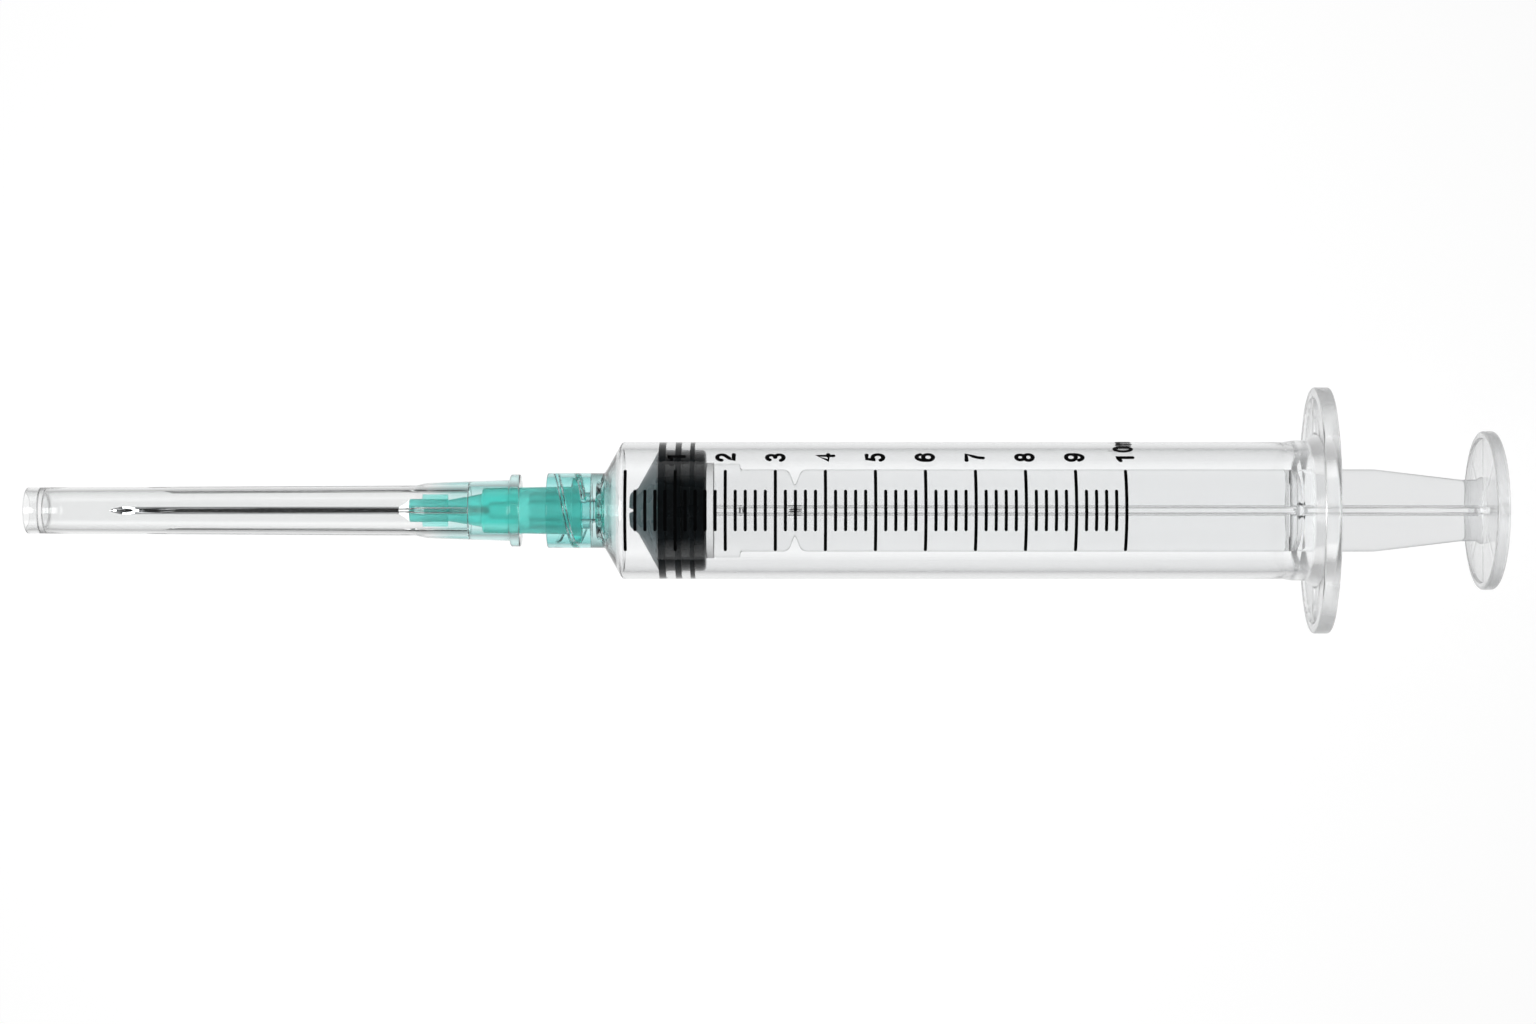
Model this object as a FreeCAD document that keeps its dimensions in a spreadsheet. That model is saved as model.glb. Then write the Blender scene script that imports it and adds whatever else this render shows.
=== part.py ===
import FreeCAD, Part
import math
import os

import Sketcher

# Ten millilitre luer lock syringe with a sheathed needle, lying on its side, in millimetres.
# The origin is on the barrel's axis at the scale's zero line, where the cylinder of the bore begins.
# +X runs along the axis to the thumb disc, Y along the flange's long way and +Z up.

doc = FreeCAD.newDocument("luer_lock_syringe")

# Driving dimensions: name, value, what it measures.
SIZES = [
    ("bore_diameter", 14.75, "inside of the barrel, which sets the length of a millilitre"),
    ("barrel_wall", 0.775, "wall of the barrel's cylinder"),
    ("capacity", 10, "millilitres on the scale"),
    ("barrel_behind_scale", 24.88, "from the last line of the scale to the flange's rear face"),
    ("front_angle", 60.5, "slope of the barrel's front cone and the stopper's, from the axis"),
    ("front_wall", 0.92, "wall of the barrel's front cone"),
    ("front_corner_round", 0.5, "round where the front cone meets the cylinder"),
    ("front_pocket_diameter", 5.6, "mouth of the pocket that takes the stopper's nose"),
    ("front_pocket_taper", 0.9, "how much narrower the pocket is at its floor"),
    ("front_pocket_wall", 0.5, "wall between that pocket and the collar's hollow"),
    ("bead_height", 0.12, "ridge inside the barrel's mouth that keeps the plunger in"),
    ("bead_width", 1.6, "length of that ridge along the bore"),
    ("bead_depth", 5.4, "from the flange's rear face to the middle of that ridge"),
    ("mouth_chamfer", 0.4, "lead-in at the barrel's mouth"),
    ("band_step", 0.2, "how far the thick band in front of the flange stands proud"),
    ("band_length", 2.4, "length of that band"),
    ("band_taper", 1.2, "length over which the wall thickens to the band"),
    ("flange_length", 29.3, "finger flange, long way"),
    ("flange_width", 20.4, "finger flange, short way"),
    ("flange_end_radius", 8.0, "round ends of the flange"),
    ("flange_thickness", 1.9, "finger flange along the axis"),
    ("flange_border", 1.2, "raised border round the flange's front face"),
    ("flange_recess", 0.35, "depth inside that border"),
    ("flange_rib", 0.6, "width of the rib along each wing"),
    ("flange_arch_radius", 10.8, "reach of the thicker pad beside the barrel"),
    ("flange_arch_height", 0.18, "how far that pad stands above the recess"),
    ("flange_arch_width", 7.0, "width of that pad"),
    ("flange_flare", 0.9, "sloping foot between the band and the flange"),
    ("flange_edge_round", 0.4, "round on the flange's edges"),
    ("collar_length", 6.8, "lock collar, from the front cone to its mouth"),
    ("collar_wall", 0.465, "wall of the lock collar"),
    ("collar_chamfer", 0.15, "chamfer outside the collar's mouth"),
    ("thread_major_diameter", 8.0, "inside of the collar between its ridges"),
    ("thread_crest_diameter", 7.0, "inside of the collar at its ridges"),
    ("thread_lead", 5.0, "how far the lock moves in a whole turn"),
    ("thread_starts", 2, "ridges in the collar"),
    ("thread_crest_width", 0.3, "top of a ridge"),
    ("thread_root_width", 0.675, "foot of a ridge, where it meets the collar"),
    ("thread_root_depth", 0.1, "how deep a ridge is rooted in the collar's wall"),
    ("thread_entry", 0.97, "from the collar's mouth to the middle of a ridge's first end"),
    ("thread_runout", 0.75, "from the middle of a ridge's last end to the collar's floor"),
    ("tip_proud", 2.1, "how far the luer cone stands out of the collar"),
    ("tip_diameter", 3.95, "luer cone at its end"),
    ("luer_taper", 0.06, "six per cent taper of the luer cones, on the diameter"),
    ("tip_bore", 2.1, "channel through the luer cone"),
    ("ink_thickness", 0.03, "printed lines of the scale"),
    ("line_width", 0.28, "width of a printed line"),
    ("long_line_angle", 71.2, "how far round the barrel a millilitre line runs"),
    ("short_line_angle", 34.6, "how far round the barrel a line between them runs"),
    ("parts_per_millilitre", 5, "divisions in a millilitre"),
    ("dose", 0.65, "where the stopper's front ring stands on the scale"),
    ("bottom_gap", 0.1, "what is left in front of that ring when the plunger is pushed home"),
    ("stopper_length", 5.53, "stopper, from its front ring's front to its rear face"),
    ("ring_clearance", 0.02, "between the sealing rings and the bore"),
    ("land_gap", 0.185, "between the stopper's body and the bore"),
    ("front_ring_width", 0.85, "first sealing ring"),
    ("middle_ring_start", 1.95, "from the first ring's front to the second's"),
    ("middle_ring_width", 0.75, "second sealing ring"),
    ("rear_ring_start", 3.7, "from the first ring's front to the third's"),
    ("rear_ring_width", 0.57, "third sealing ring"),
    ("nose_base_diameter", 5.4, "where the stopper's cone ends and its nose begins"),
    ("nose_diameter", 4.0, "stopper's nose"),
    ("nose_length", 1.0, "stopper's nose"),
    ("nose_round", 0.75, "round on the end of the nose"),
    ("nose_slot_width", 0.7, "notch across the nose"),
    ("nose_slot_depth", 0.6, "notch across the nose"),
    ("nose_clearance", 0.25, "room in front of the nose when the plunger is pushed home"),
    ("stopper_edge_round", 0.3, "round on the stopper's rear edge"),
    ("plunger_proud", 15.86, "how far the plunger stands out behind the flange when pushed home"),
    ("snap_clearance", 0.05, "between the plunger's head and the hollow in the stopper"),
    ("head_neck_diameter", 4.6, "neck of the plunger's head"),
    ("head_neck_length", 1.3, "neck of the plunger's head"),
    ("head_barb_diameter", 7.0, "widest part of the head, behind which the stopper holds"),
    ("head_tip_diameter", 4.6, "front end of the head"),
    ("head_barb_length", 2.2, "from the barb to the front end of the head"),
    ("support_disc_diameter", 11.4, "disc that pushes the stopper"),
    ("support_disc_thickness", 1.0, "disc that pushes the stopper"),
    ("front_wing_width", 11.2, "ribs just behind that disc, across the axis"),
    ("front_wing_length", 4.07, "from the stopper to the end of those wide ribs"),
    ("rib_width", 9.8, "crossed ribs of the plunger, across the axis"),
    ("rib_thickness", 1.0, "crossed ribs of the plunger"),
    ("notch_place", 10.57, "from the stopper to the notches where the plunger is snapped off"),
    ("notch_width", 1.6, "a notch at the rib's edge"),
    ("notch_depth", 2.0, "a notch into the rib"),
    ("notch_shoulder_round", 0.9, "round shoulders on both sides of a notch"),
    ("guide_disc_place", 22.5, "from the thumb disc back to the guide disc between the ribs"),
    ("guide_disc_thickness", 0.8, "guide disc"),
    ("grip_taper_length", 10.3, "length over which the ribs narrow towards the thumb disc"),
    ("grip_neck_width", 7.32, "ribs at the thumb disc, across the axis"),
    ("grip_neck_length", 2.4, "length of the narrow ribs"),
    ("thumb_diameter", 18.9, "thumb disc"),
    ("thumb_thickness", 1.55, "thumb disc"),
    ("thumb_edge_round", 0.35, "round on the thumb disc's edges"),
    ("thumb_rim", 0.85, "raised rim round the thumb disc's front face"),
    ("thumb_recess", 0.3, "depth inside that rim"),
    ("spoke_count", 8, "low spokes in that recess"),
    ("spoke_width", 0.4, "a spoke"),
    ("hub_float", 1.26, "between the hub's rear end and the collar's floor"),
    ("luer_clearance", 0.03, "between the luer cones"),
    ("lug_diameter", 7.8, "across the hub's two lugs"),
    ("lug_length", 1.0, "a lug, along the axis"),
    ("lug_inset", 0.05, "from the hub's rear end to the lugs"),
    ("lug_angle", 40, "how far round the hub a lug runs"),
    ("hub_rim_diameter", 6.3, "low rim between the lugs"),
    ("hub_rear_diameter", 5.7, "hub's body at its rear end"),
    ("hub_shoulder_diameter", 5.3, "hub's body at its front shoulder"),
    ("hub_body_length", 11.75, "hub's body"),
    ("hub_shoulder_chamfer", 0.2, "chamfer on the hub's front shoulder"),
    ("waist_rear_diameter", 4.0, "hub's waist at the shoulder"),
    ("waist_front_diameter", 2.5, "hub's waist at the fins"),
    ("waist_length", 4.1, "hub's waist"),
    ("fin_diameter", 3.8, "across the fins in front of the waist"),
    ("fin_length", 2.8, "fins along the axis"),
    ("fin_thickness", 0.7, "a fin"),
    ("fin_count", 4, "fins"),
    ("hub_nose_diameter", 2.74, "front end of the hub"),
    ("hub_nose_length", 1.8, "front end of the hub, before the fins"),
    ("socket_depth", 7.75, "luer socket in the hub"),
    ("throat_diameter", 1.6, "channel between the socket and the cannula"),
    ("cannula_diameter", 0.9, "steel tube"),
    ("cannula_bore", 0.55, "steel tube, inside"),
    ("cannula_proud", 35.9, "from the hub's front end to the point"),
    ("cannula_seat", 9.5, "length of the cannula inside the hub"),
    ("cannula_clearance", 0.02, "between the cannula and the hub"),
    ("bevel_length", 3.7, "ground face at the point"),
    ("side_facet_length", 2.4, "two facets that sharpen the point, as the bevel would be long at their slope"),
    ("side_facet_turn", 35, "how far round the axis those facets are turned from the bevel"),
    ("adhesive_length", 1.3, "bead of adhesive round the cannula"),
    ("sheath_overlap", 4.5, "from the hub's shoulder to the sheath's rear end"),
    ("sheath_clearance", 0.04, "between the sheath's mouth and the hub"),
    ("sheath_step", 1.6, "from the hub's shoulder forward to the step in the sheath"),
    ("sheath_flange_diameter", 8.6, "ring at the sheath's mouth"),
    ("sheath_flange_length", 1.2, "ring at the sheath's mouth"),
    ("skirt_rear_diameter", 7.26, "wide part of the sheath at the ring"),
    ("skirt_front_diameter", 6.6, "wide part of the sheath at its shoulder"),
    ("skirt_length", 10.0, "wide part of the sheath"),
    ("sheath_shoulder_length", 1.2, "cone in front of the wide part"),
    ("tube_rear_diameter", 6.0, "narrow part of the sheath at the shoulder"),
    ("tube_front_diameter", 5.48, "narrow part of the sheath at its end"),
    ("sheath_wall", 0.5, "wall of the narrow part"),
    ("grip_rib_gap", 0.2, "between the sheath's grip ribs and the hub's fins"),
    ("grip_rib_thickness", 0.5, "a grip rib"),
    ("point_room", 7.6, "in front of the needle's point, inside the sheath"),
    ("end_wall", 0.4, "closed end of the sheath"),
    ("end_recess", 1.7, "hollow in front of that end"),
    ("tube_rib_count", 4, "low ribs inside the narrow part"),
    ("tube_rib_length", 30.0, "low ribs inside the narrow part"),
    ("tube_rib_height", 0.3, "low ribs inside the narrow part"),
    ("tube_rib_thickness", 0.35, "low ribs inside the narrow part"),
]

# Places worked out from them: name, formula, what it is. A place is along the axis, from the origin
# unless the note says from where.
PLACES = [
    ("millilitre", "1000 / (pi / 4 * Sizes.bore_diameter ^ 2)", "length of a millilitre in the bore"),
    ("bore_radius", "Sizes.bore_diameter / 2", "radius of the bore"),
    ("barrel_radius", "bore_radius + Sizes.barrel_wall", "radius of the barrel's outside"),
    ("band_radius", "barrel_radius + Sizes.band_step", "radius of the band before the flange"),
    ("bead_radius", "bore_radius - Sizes.bead_height", "radius inside the bead"),
    ("slope", "tan(Sizes.front_angle * 1 deg)", "rise of the front cone"),
    ("cone_lift", "Sizes.front_wall / cos(Sizes.front_angle * 1 deg)", "front wall, across the axis"),
    ("barrel_rear", "Sizes.capacity * millilitre + Sizes.barrel_behind_scale", "flange's rear face"),
    ("flange_front", "barrel_rear - Sizes.flange_thickness", "flange's front face"),
    ("band_front", "flange_front - Sizes.band_length", "front of the thick band"),
    ("bead_middle", "barrel_rear - Sizes.bead_depth", "middle of the bead"),
    ("land_radius", "bore_radius - Sizes.land_gap", "radius of the stopper's body"),
    ("ring_radius", "bore_radius - Sizes.ring_clearance", "radius of the sealing rings"),
    ("cone_height", "(land_radius - Sizes.nose_base_diameter / 2) / slope", "stopper's cone"),
    ("nose_front", "-cone_height - Sizes.nose_length", "stopper's front end, from its front ring"),
    ("pocket_floor", "Sizes.bottom_gap + nose_front - Sizes.nose_clearance", "pocket's floor"),
    ("pocket_mouth", "(Sizes.front_pocket_diameter / 2 - bore_radius) / slope", "pocket's mouth"),
    ("collar_floor", "pocket_floor - Sizes.front_pocket_wall", "floor of the collar's hollow"),
    ("collar_bore", "Sizes.thread_major_diameter / 2", "radius inside the collar"),
    ("collar_radius", "collar_bore + Sizes.collar_wall", "radius of the collar's outside"),
    ("collar_rear", "(collar_radius - bore_radius - cone_lift) / slope", "where the collar joins the cone"),
    ("collar_front", "collar_rear - Sizes.collar_length", "collar's mouth"),
    ("front_corner", "(barrel_radius - bore_radius - cone_lift) / slope", "where cone and cylinder meet"),
    ("tip_front", "collar_front - Sizes.tip_proud", "end of the luer cone"),
    ("tip_growth", "(collar_floor - tip_front) * Sizes.luer_taper / 2", "what the taper adds by the root"),
    ("tip_root_radius", "Sizes.tip_diameter / 2 + tip_growth", "radius of the luer cone at its root"),
    ("ridge_front", "collar_front + Sizes.thread_entry", "middle of a ridge where it starts"),
    ("ridge_length", "collar_floor - Sizes.thread_runout - ridge_front", "length of a ridge along the axis"),
    ("stopper_front", "Sizes.dose * millilitre", "front ring of the stopper at rest"),
    ("stopper_rear", "stopper_front + Sizes.stopper_length", "stopper's rear face at rest"),
    ("thumb_rear", "barrel_rear + Sizes.plunger_proud + stopper_front", "thumb disc's rear face"),
    ("plunger_length", "thumb_rear - stopper_rear", "plunger behind the stopper"),
    ("thumb_front", "plunger_length - Sizes.thumb_thickness", "thumb disc's front face, from the stopper"),
    ("hub_rear", "collar_floor - Sizes.hub_float", "hub's rear end"),
    ("tip_radius_at_hub", "Sizes.tip_diameter / 2 + (hub_rear - tip_front) * Sizes.luer_taper / 2",
     "radius of the luer cone at the hub's rear end"),
    ("socket_mouth_radius", "tip_radius_at_hub + Sizes.luer_clearance", "socket at the hub's rear end"),
    ("socket_floor_radius", "socket_mouth_radius - Sizes.socket_depth * Sizes.luer_taper / 2", "floor"),
    ("waist_front", "Sizes.hub_body_length + Sizes.waist_length", "fins' rear, from the hub's rear end"),
    ("fin_front", "waist_front + Sizes.fin_length", "fins' front, from the hub's rear end"),
    ("hub_length", "fin_front + Sizes.hub_nose_length", "hub, from end to end"),
    ("needle_point", "hub_rear - hub_length - Sizes.cannula_proud", "needle's point"),
    ("cannula_length", "Sizes.cannula_proud + Sizes.cannula_seat", "cannula, from end to end"),
    ("cannula_seat_radius", "Sizes.cannula_diameter / 2 + Sizes.cannula_clearance", "hole for the cannula"),
    ("sheath_rear", "hub_rear - Sizes.hub_body_length + Sizes.sheath_overlap", "sheath's rear end"),
    ("sheath_length", "sheath_rear - needle_point + Sizes.point_room + Sizes.end_wall + Sizes.end_recess",
     "sheath, from end to end"),
    ("skirt_front", "Sizes.sheath_flange_length + Sizes.skirt_length", "front of the wide part"),
    ("tube_rear", "skirt_front + Sizes.sheath_shoulder_length", "rear of the narrow part, from the mouth"),
    ("sheath_step_place", "Sizes.sheath_overlap + Sizes.sheath_step", "step inside, from the mouth"),
    ("sheath_mouth_radius", "Sizes.hub_rear_diameter / 2 + Sizes.sheath_clearance", "inside the mouth"),
    ("tube_rear_bore", "Sizes.tube_rear_diameter / 2 - Sizes.sheath_wall", "inside, at its rear"),
    ("tube_front_bore", "Sizes.tube_front_diameter / 2 - Sizes.sheath_wall", "inside, at its front"),
    ("sheath_floor", "sheath_length - Sizes.end_recess - Sizes.end_wall", "inside face of the closed end"),
    ("grip_rib_radius", "Sizes.fin_diameter / 2 + Sizes.grip_rib_gap", "inner edge of a grip rib"),
]


def make_sheet(name, rows, lead):
    """A sheet with a name, a value and a note in each row, the value's cell having the name as its alias."""
    sheet = doc.addObject("Spreadsheet::Sheet", name)
    for row, (alias, value, note) in enumerate(rows, 1):
        sheet.set(f"A{row}", alias)
        sheet.set(f"B{row}", f"{lead}{value}")
        sheet.setAlias(f"B{row}", alias)
        sheet.set(f"C{row}", note)
    doc.recompute()
    return sheet


sizes = make_sheet("Sizes", SIZES, "")
places = make_sheet("Places", PLACES, "=")

# Two points closer than this are one point.
SAME_POINT = 1e-4

# How far a cut runs on past the face that it opens.
OVERRUN = 1


def worked_out(formula):
    """The number that a formula of the sheets gives."""
    found = sizes.evalExpression(formula)
    return float(getattr(found, "Value", found))


def new_body(name, x_place="0"):
    """An empty body whose own origin lies on the axis at x_place."""
    body = doc.addObject("PartDesign::Body", name)
    body.Label = name
    body.setExpression("Placement.Base.x", x_place)
    return body


def datum(body, role):
    """One of the body's own origin planes or axes."""
    return next(item for item in body.Origin.OriginFeatures if item.Role == role)


def new_sketch(body, name, role, offset="0"):
    """An empty sketch on one of the body's origin planes, moved along its normal by offset."""
    sketch = body.newObject("Sketcher::SketchObject", name)
    sketch.AttachmentSupport = [(datum(body, role), "")]
    sketch.MapMode = "FlatFace"
    sketch.setExpression("AttachmentOffset.Base.z", offset)
    return sketch


def pin_point(sketch, curve, point, across, up):
    """Ties a point of a curve to the sketch's origin by two formulas."""
    for kind, formula in (("DistanceX", across), ("DistanceY", up)):
        number = sketch.addConstraint(Sketcher.Constraint(kind, -1, 1, curve, point, worked_out(formula)))
        sketch.setExpression(f"Constraints[{number}]", formula)


def add_polygon(sketch, corners):
    """A closed run of straight lines through corners, each a pair of formulas."""
    points = [FreeCAD.Vector(worked_out(across), worked_out(up), 0) for across, up in corners]
    first = sketch.GeometryCount
    count = len(points)
    for place, point in enumerate(points):
        sketch.addGeometry(Part.LineSegment(point, points[(place + 1) % count]))
    for place, (across, up) in enumerate(corners):
        following = first + (place + 1) % count
        sketch.addConstraint(Sketcher.Constraint("Coincident", first + place, 2, following, 1))
        pin_point(sketch, first + place, 1, across, up)


def add_oval(sketch, inset):
    """The flange's outline moved inwards by inset: two end arcs and two flatter side arcs, all tangent.

    With half-length L, half-width W and end radius r, the side arcs have the radius
    ((L - r)^2 + W^2 - r^2) / (2 (W - r)), and their centres lie that less W across the axis.
    """
    half_length = "Sizes.flange_length / 2"
    half_width = "Sizes.flange_width / 2"
    reach = f"({half_length} - Sizes.flange_end_radius)"
    side = (
        f"(({reach} ^ 2 + ({half_width}) ^ 2 - Sizes.flange_end_radius ^ 2)"
        f" / (2 * ({half_width} - Sizes.flange_end_radius)))"
    )
    end_radius = f"Sizes.flange_end_radius - {inset}"
    side_radius = f"{side} - {inset}"
    far = worked_out(reach)
    drop = worked_out(f"{side} - {half_width}")
    turn = math.atan2(drop, far)
    normal = FreeCAD.Vector(0, 0, 1)
    arcs = (
        (FreeCAD.Vector(far, 0, 0), end_radius, -turn, turn),
        (FreeCAD.Vector(0, -drop, 0), side_radius, turn, math.pi - turn),
        (FreeCAD.Vector(-far, 0, 0), end_radius, math.pi - turn, math.pi + turn),
        (FreeCAD.Vector(0, drop, 0), side_radius, math.pi + turn, 2 * math.pi - turn),
    )
    curves = []
    for centre, radius, start, stop in arcs:
        circle = Part.Circle(centre, normal, worked_out(radius))
        curve = sketch.addGeometry(Part.ArcOfCircle(circle, start, stop))
        number = sketch.addConstraint(Sketcher.Constraint("Radius", curve, worked_out(radius)))
        sketch.setExpression(f"Constraints[{number}]", radius)
        curves.append(curve)
    pin_point(sketch, curves[0], 3, reach, "0")
    pin_point(sketch, curves[2], 3, f"-{reach}", "0")
    for place, curve in enumerate(curves):
        sketch.addConstraint(Sketcher.Constraint("Tangent", curve, 2, curves[(place + 1) % 4], 1))


def turn_profile(body, name, corners, kind="Revolution", plane="XY_Plane", angle=None):
    """Turns a closed outline of (along the axis, radius) formulas, wholly or by a centred angle."""
    sketch = new_sketch(body, f"{name}_section", plane)
    add_polygon(sketch, corners)
    feature = body.newObject(f"PartDesign::{kind}", name)
    feature.Profile = sketch
    feature.ReferenceAxis = (sketch, ["H_Axis"])
    if angle is None:
        feature.Angle = 360
    else:
        feature.Midplane = True
        feature.setExpression("Angle", angle)
    sketch.Visibility = False
    doc.recompute()
    return feature


def turn_disc(body, name, front, thickness, radius):
    """A plain disc about the axis."""
    rear = f"{front} + {thickness}"
    return turn_profile(body, name, [(front, "0"), (front, radius), (rear, radius), (rear, "0")])


def pad_sketch(body, name, sketch, length, centred=False):
    """Pads a sketch by length, along its normal or equally to both sides."""
    feature = body.newObject("PartDesign::Pad", name)
    feature.Profile = sketch
    feature.SideType = "Symmetric" if centred else "One side"
    feature.setExpression("Length", length)
    sketch.Visibility = False
    doc.recompute()
    return feature


def repeat_round(body, name, feature, count):
    """Repeats a feature evenly about the axis."""
    pattern = body.newObject("PartDesign::PolarPattern", name)
    pattern.Originals = [feature]
    pattern.Axis = (datum(body, "X_Axis"), [""])
    pattern.Angle = 360
    pattern.setExpression("Occurrences", count)
    body.Tip = pattern
    doc.recompute()
    return pattern


def repeat_along(body, name, feature, count, spacing):
    """Repeats a feature along the axis."""
    pattern = body.newObject("PartDesign::LinearPattern", name)
    pattern.Originals = [feature]
    pattern.Direction = (datum(body, "X_Axis"), [""])
    pattern.Mode = "Spacing"
    pattern.setExpression("Offset", spacing)
    pattern.setExpression("Occurrences", count)
    body.Tip = pattern
    doc.recompute()
    return pattern


def hoop_edges(feature, x_place, radius):
    """Names of the round edges about the axis at that place and radius."""
    centre = FreeCAD.Vector(worked_out(x_place), 0, 0)
    wanted = worked_out(radius)
    names = []
    for number, edge in enumerate(feature.Shape.Edges, 1):
        curve = edge.Curve
        if not isinstance(curve, Part.Circle):
            continue
        if curve.Center.distanceToPoint(centre) < SAME_POINT and abs(curve.Radius - wanted) < SAME_POINT:
            names.append(f"Edge{number}")
    return names


def round_edges(body, name, feature, names, radius):
    """Rounds the named edges of a feature."""
    fillet = body.newObject("PartDesign::Fillet", name)
    fillet.Base = (feature, names)
    fillet.setExpression("Radius", radius)
    doc.recompute()
    return fillet


def chamfer_edges(body, name, feature, names, size):
    """Chamfers the named edges of a feature."""
    chamfer = body.newObject("PartDesign::Chamfer", name)
    chamfer.Base = (feature, names)
    chamfer.setExpression("Size", size)
    doc.recompute()
    return chamfer


def make_barrel():
    """Barrel, finger flange, luer cone and threaded lock collar: one clear moulding."""
    body = new_body("barrel")

    # Finger flange, whose front face has a raised border, and a rib and a thicker pad on each wing.
    plate = new_sketch(body, "flange_outline", "YZ_Plane", "Places.flange_front + Sizes.flange_recess")
    add_oval(plate, "0")
    pad_sketch(body, "flange_plate", plate, "Sizes.flange_thickness - Sizes.flange_recess")
    border = new_sketch(body, "border_outline", "YZ_Plane", "Places.flange_front")
    add_oval(border, "0")
    add_oval(border, "Sizes.flange_border")
    pad_sketch(body, "flange_border", border, "Sizes.flange_recess")
    rib = new_sketch(body, "flange_rib_outline", "YZ_Plane", "Places.flange_front")
    rib_reach = "(Sizes.flange_length / 2 - Sizes.flange_border / 2)"
    add_polygon(rib, [
        (f"-{rib_reach}", "-Sizes.flange_rib / 2"),
        (rib_reach, "-Sizes.flange_rib / 2"),
        (rib_reach, "Sizes.flange_rib / 2"),
        (f"-{rib_reach}", "Sizes.flange_rib / 2"),
    ])
    pad_sketch(body, "flange_rib", rib, "Sizes.flange_recess")
    arch = new_sketch(
        body, "flange_arch_outline", "YZ_Plane",
        "Places.flange_front + Sizes.flange_recess - Sizes.flange_arch_height",
    )
    add_polygon(arch, [
        ("-Sizes.flange_arch_radius", "-Sizes.flange_arch_width / 4"),
        ("-Places.band_radius", "-Sizes.flange_arch_width / 2"),
        ("Places.band_radius", "-Sizes.flange_arch_width / 2"),
        ("Sizes.flange_arch_radius", "-Sizes.flange_arch_width / 4"),
        ("Sizes.flange_arch_radius", "Sizes.flange_arch_width / 4"),
        ("Places.band_radius", "Sizes.flange_arch_width / 2"),
        ("-Places.band_radius", "Sizes.flange_arch_width / 2"),
        ("-Sizes.flange_arch_radius", "Sizes.flange_arch_width / 4"),
    ])
    flange = pad_sketch(body, "flange_arch", arch, "Sizes.flange_arch_height")
    rim = [
        f"Edge{number}" for number, edge in enumerate(flange.Shape.Edges, 1)
        if on_flange_rim(edge)
    ]
    round_edges(body, "flange_edges", flange, rim, "Sizes.flange_edge_round")

    # Outside of the luer cone, collar, front cone and cylinder, still without the bore.
    outside = turn_profile(body, "outside", [
        ("Places.tip_front", "0"),
        ("Places.tip_front", "Sizes.tip_diameter / 2"),
        ("Places.collar_floor", "Places.tip_root_radius"),
        ("Places.collar_floor", "Places.collar_bore"),
        ("Places.collar_front", "Places.collar_bore"),
        ("Places.collar_front", "Places.collar_radius"),
        ("Places.collar_rear", "Places.collar_radius"),
        ("Places.front_corner", "Places.barrel_radius"),
        ("Places.band_front - Sizes.band_taper", "Places.barrel_radius"),
        ("Places.band_front", "Places.band_radius"),
        ("Places.flange_front - Sizes.flange_flare", "Places.band_radius"),
        ("Places.flange_front + Sizes.flange_recess", "Places.band_radius + Sizes.flange_flare"),
        ("Places.barrel_rear", "Places.band_radius + Sizes.flange_flare"),
        ("Places.barrel_rear", "0"),
    ])
    corner = round_edges(
        body, "front_corner", outside,
        hoop_edges(outside, "Places.front_corner", "Places.barrel_radius"),
        "Sizes.front_corner_round",
    )
    mouth = chamfer_edges(
        body, "collar_mouth", corner,
        hoop_edges(corner, "Places.collar_front", "Places.collar_radius"),
        "Sizes.collar_chamfer",
    )

    # Bore, with its bead and lead-in at the rear, and the cone, pocket and channel in front.
    bead_start = "Places.bead_middle - Sizes.bead_width / 2"
    bead_stop = "Places.bead_middle + Sizes.bead_width / 2"
    bore = turn_profile(body, "bore", [
        (f"Places.tip_front - {OVERRUN}", "0"),
        (f"Places.tip_front - {OVERRUN}", "Sizes.tip_bore / 2"),
        ("Places.pocket_floor", "Sizes.tip_bore / 2"),
        ("Places.pocket_floor", "(Sizes.front_pocket_diameter - Sizes.front_pocket_taper) / 2"),
        ("Places.pocket_mouth", "Sizes.front_pocket_diameter / 2"),
        ("0", "Places.bore_radius"),
        (bead_start, "Places.bore_radius"),
        ("Places.bead_middle", "Places.bead_radius"),
        (bead_stop, "Places.bore_radius"),
        ("Places.barrel_rear - Sizes.mouth_chamfer", "Places.bore_radius"),
        ("Places.barrel_rear", "Places.bore_radius + Sizes.mouth_chamfer"),
        (f"Places.barrel_rear + {OVERRUN}", "Places.bore_radius + Sizes.mouth_chamfer"),
        (f"Places.barrel_rear + {OVERRUN}", "0"),
    ], kind="Groove")
    assert bore.Shape.Volume < mouth.Shape.Volume

    # Double-start right-hand thread inside the collar.
    ridge = new_sketch(body, "ridge_section", "XZ_Plane")
    root_radius = "Places.collar_bore + Sizes.thread_root_depth"
    crest_radius = "Sizes.thread_crest_diameter / 2"
    add_polygon(ridge, [
        ("Places.ridge_front - Sizes.thread_root_width / 2", root_radius),
        ("Places.ridge_front - Sizes.thread_crest_width / 2", crest_radius),
        ("Places.ridge_front + Sizes.thread_crest_width / 2", crest_radius),
        ("Places.ridge_front + Sizes.thread_root_width / 2", root_radius),
    ])
    helix = body.newObject("PartDesign::AdditiveHelix", "ridge")
    helix.Profile = ridge
    helix.ReferenceAxis = (datum(body, "X_Axis"), [""])
    helix.Mode = "pitch-height-angle"
    helix.setExpression("Pitch", "Sizes.thread_lead")
    helix.setExpression("Height", "Places.ridge_length")
    doc.recompute()
    thread = repeat_round(body, "ridges", helix, "Sizes.thread_starts")
    assert thread.Shape.Volume > helix.Shape.Volume > bore.Shape.Volume
    return body


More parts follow.
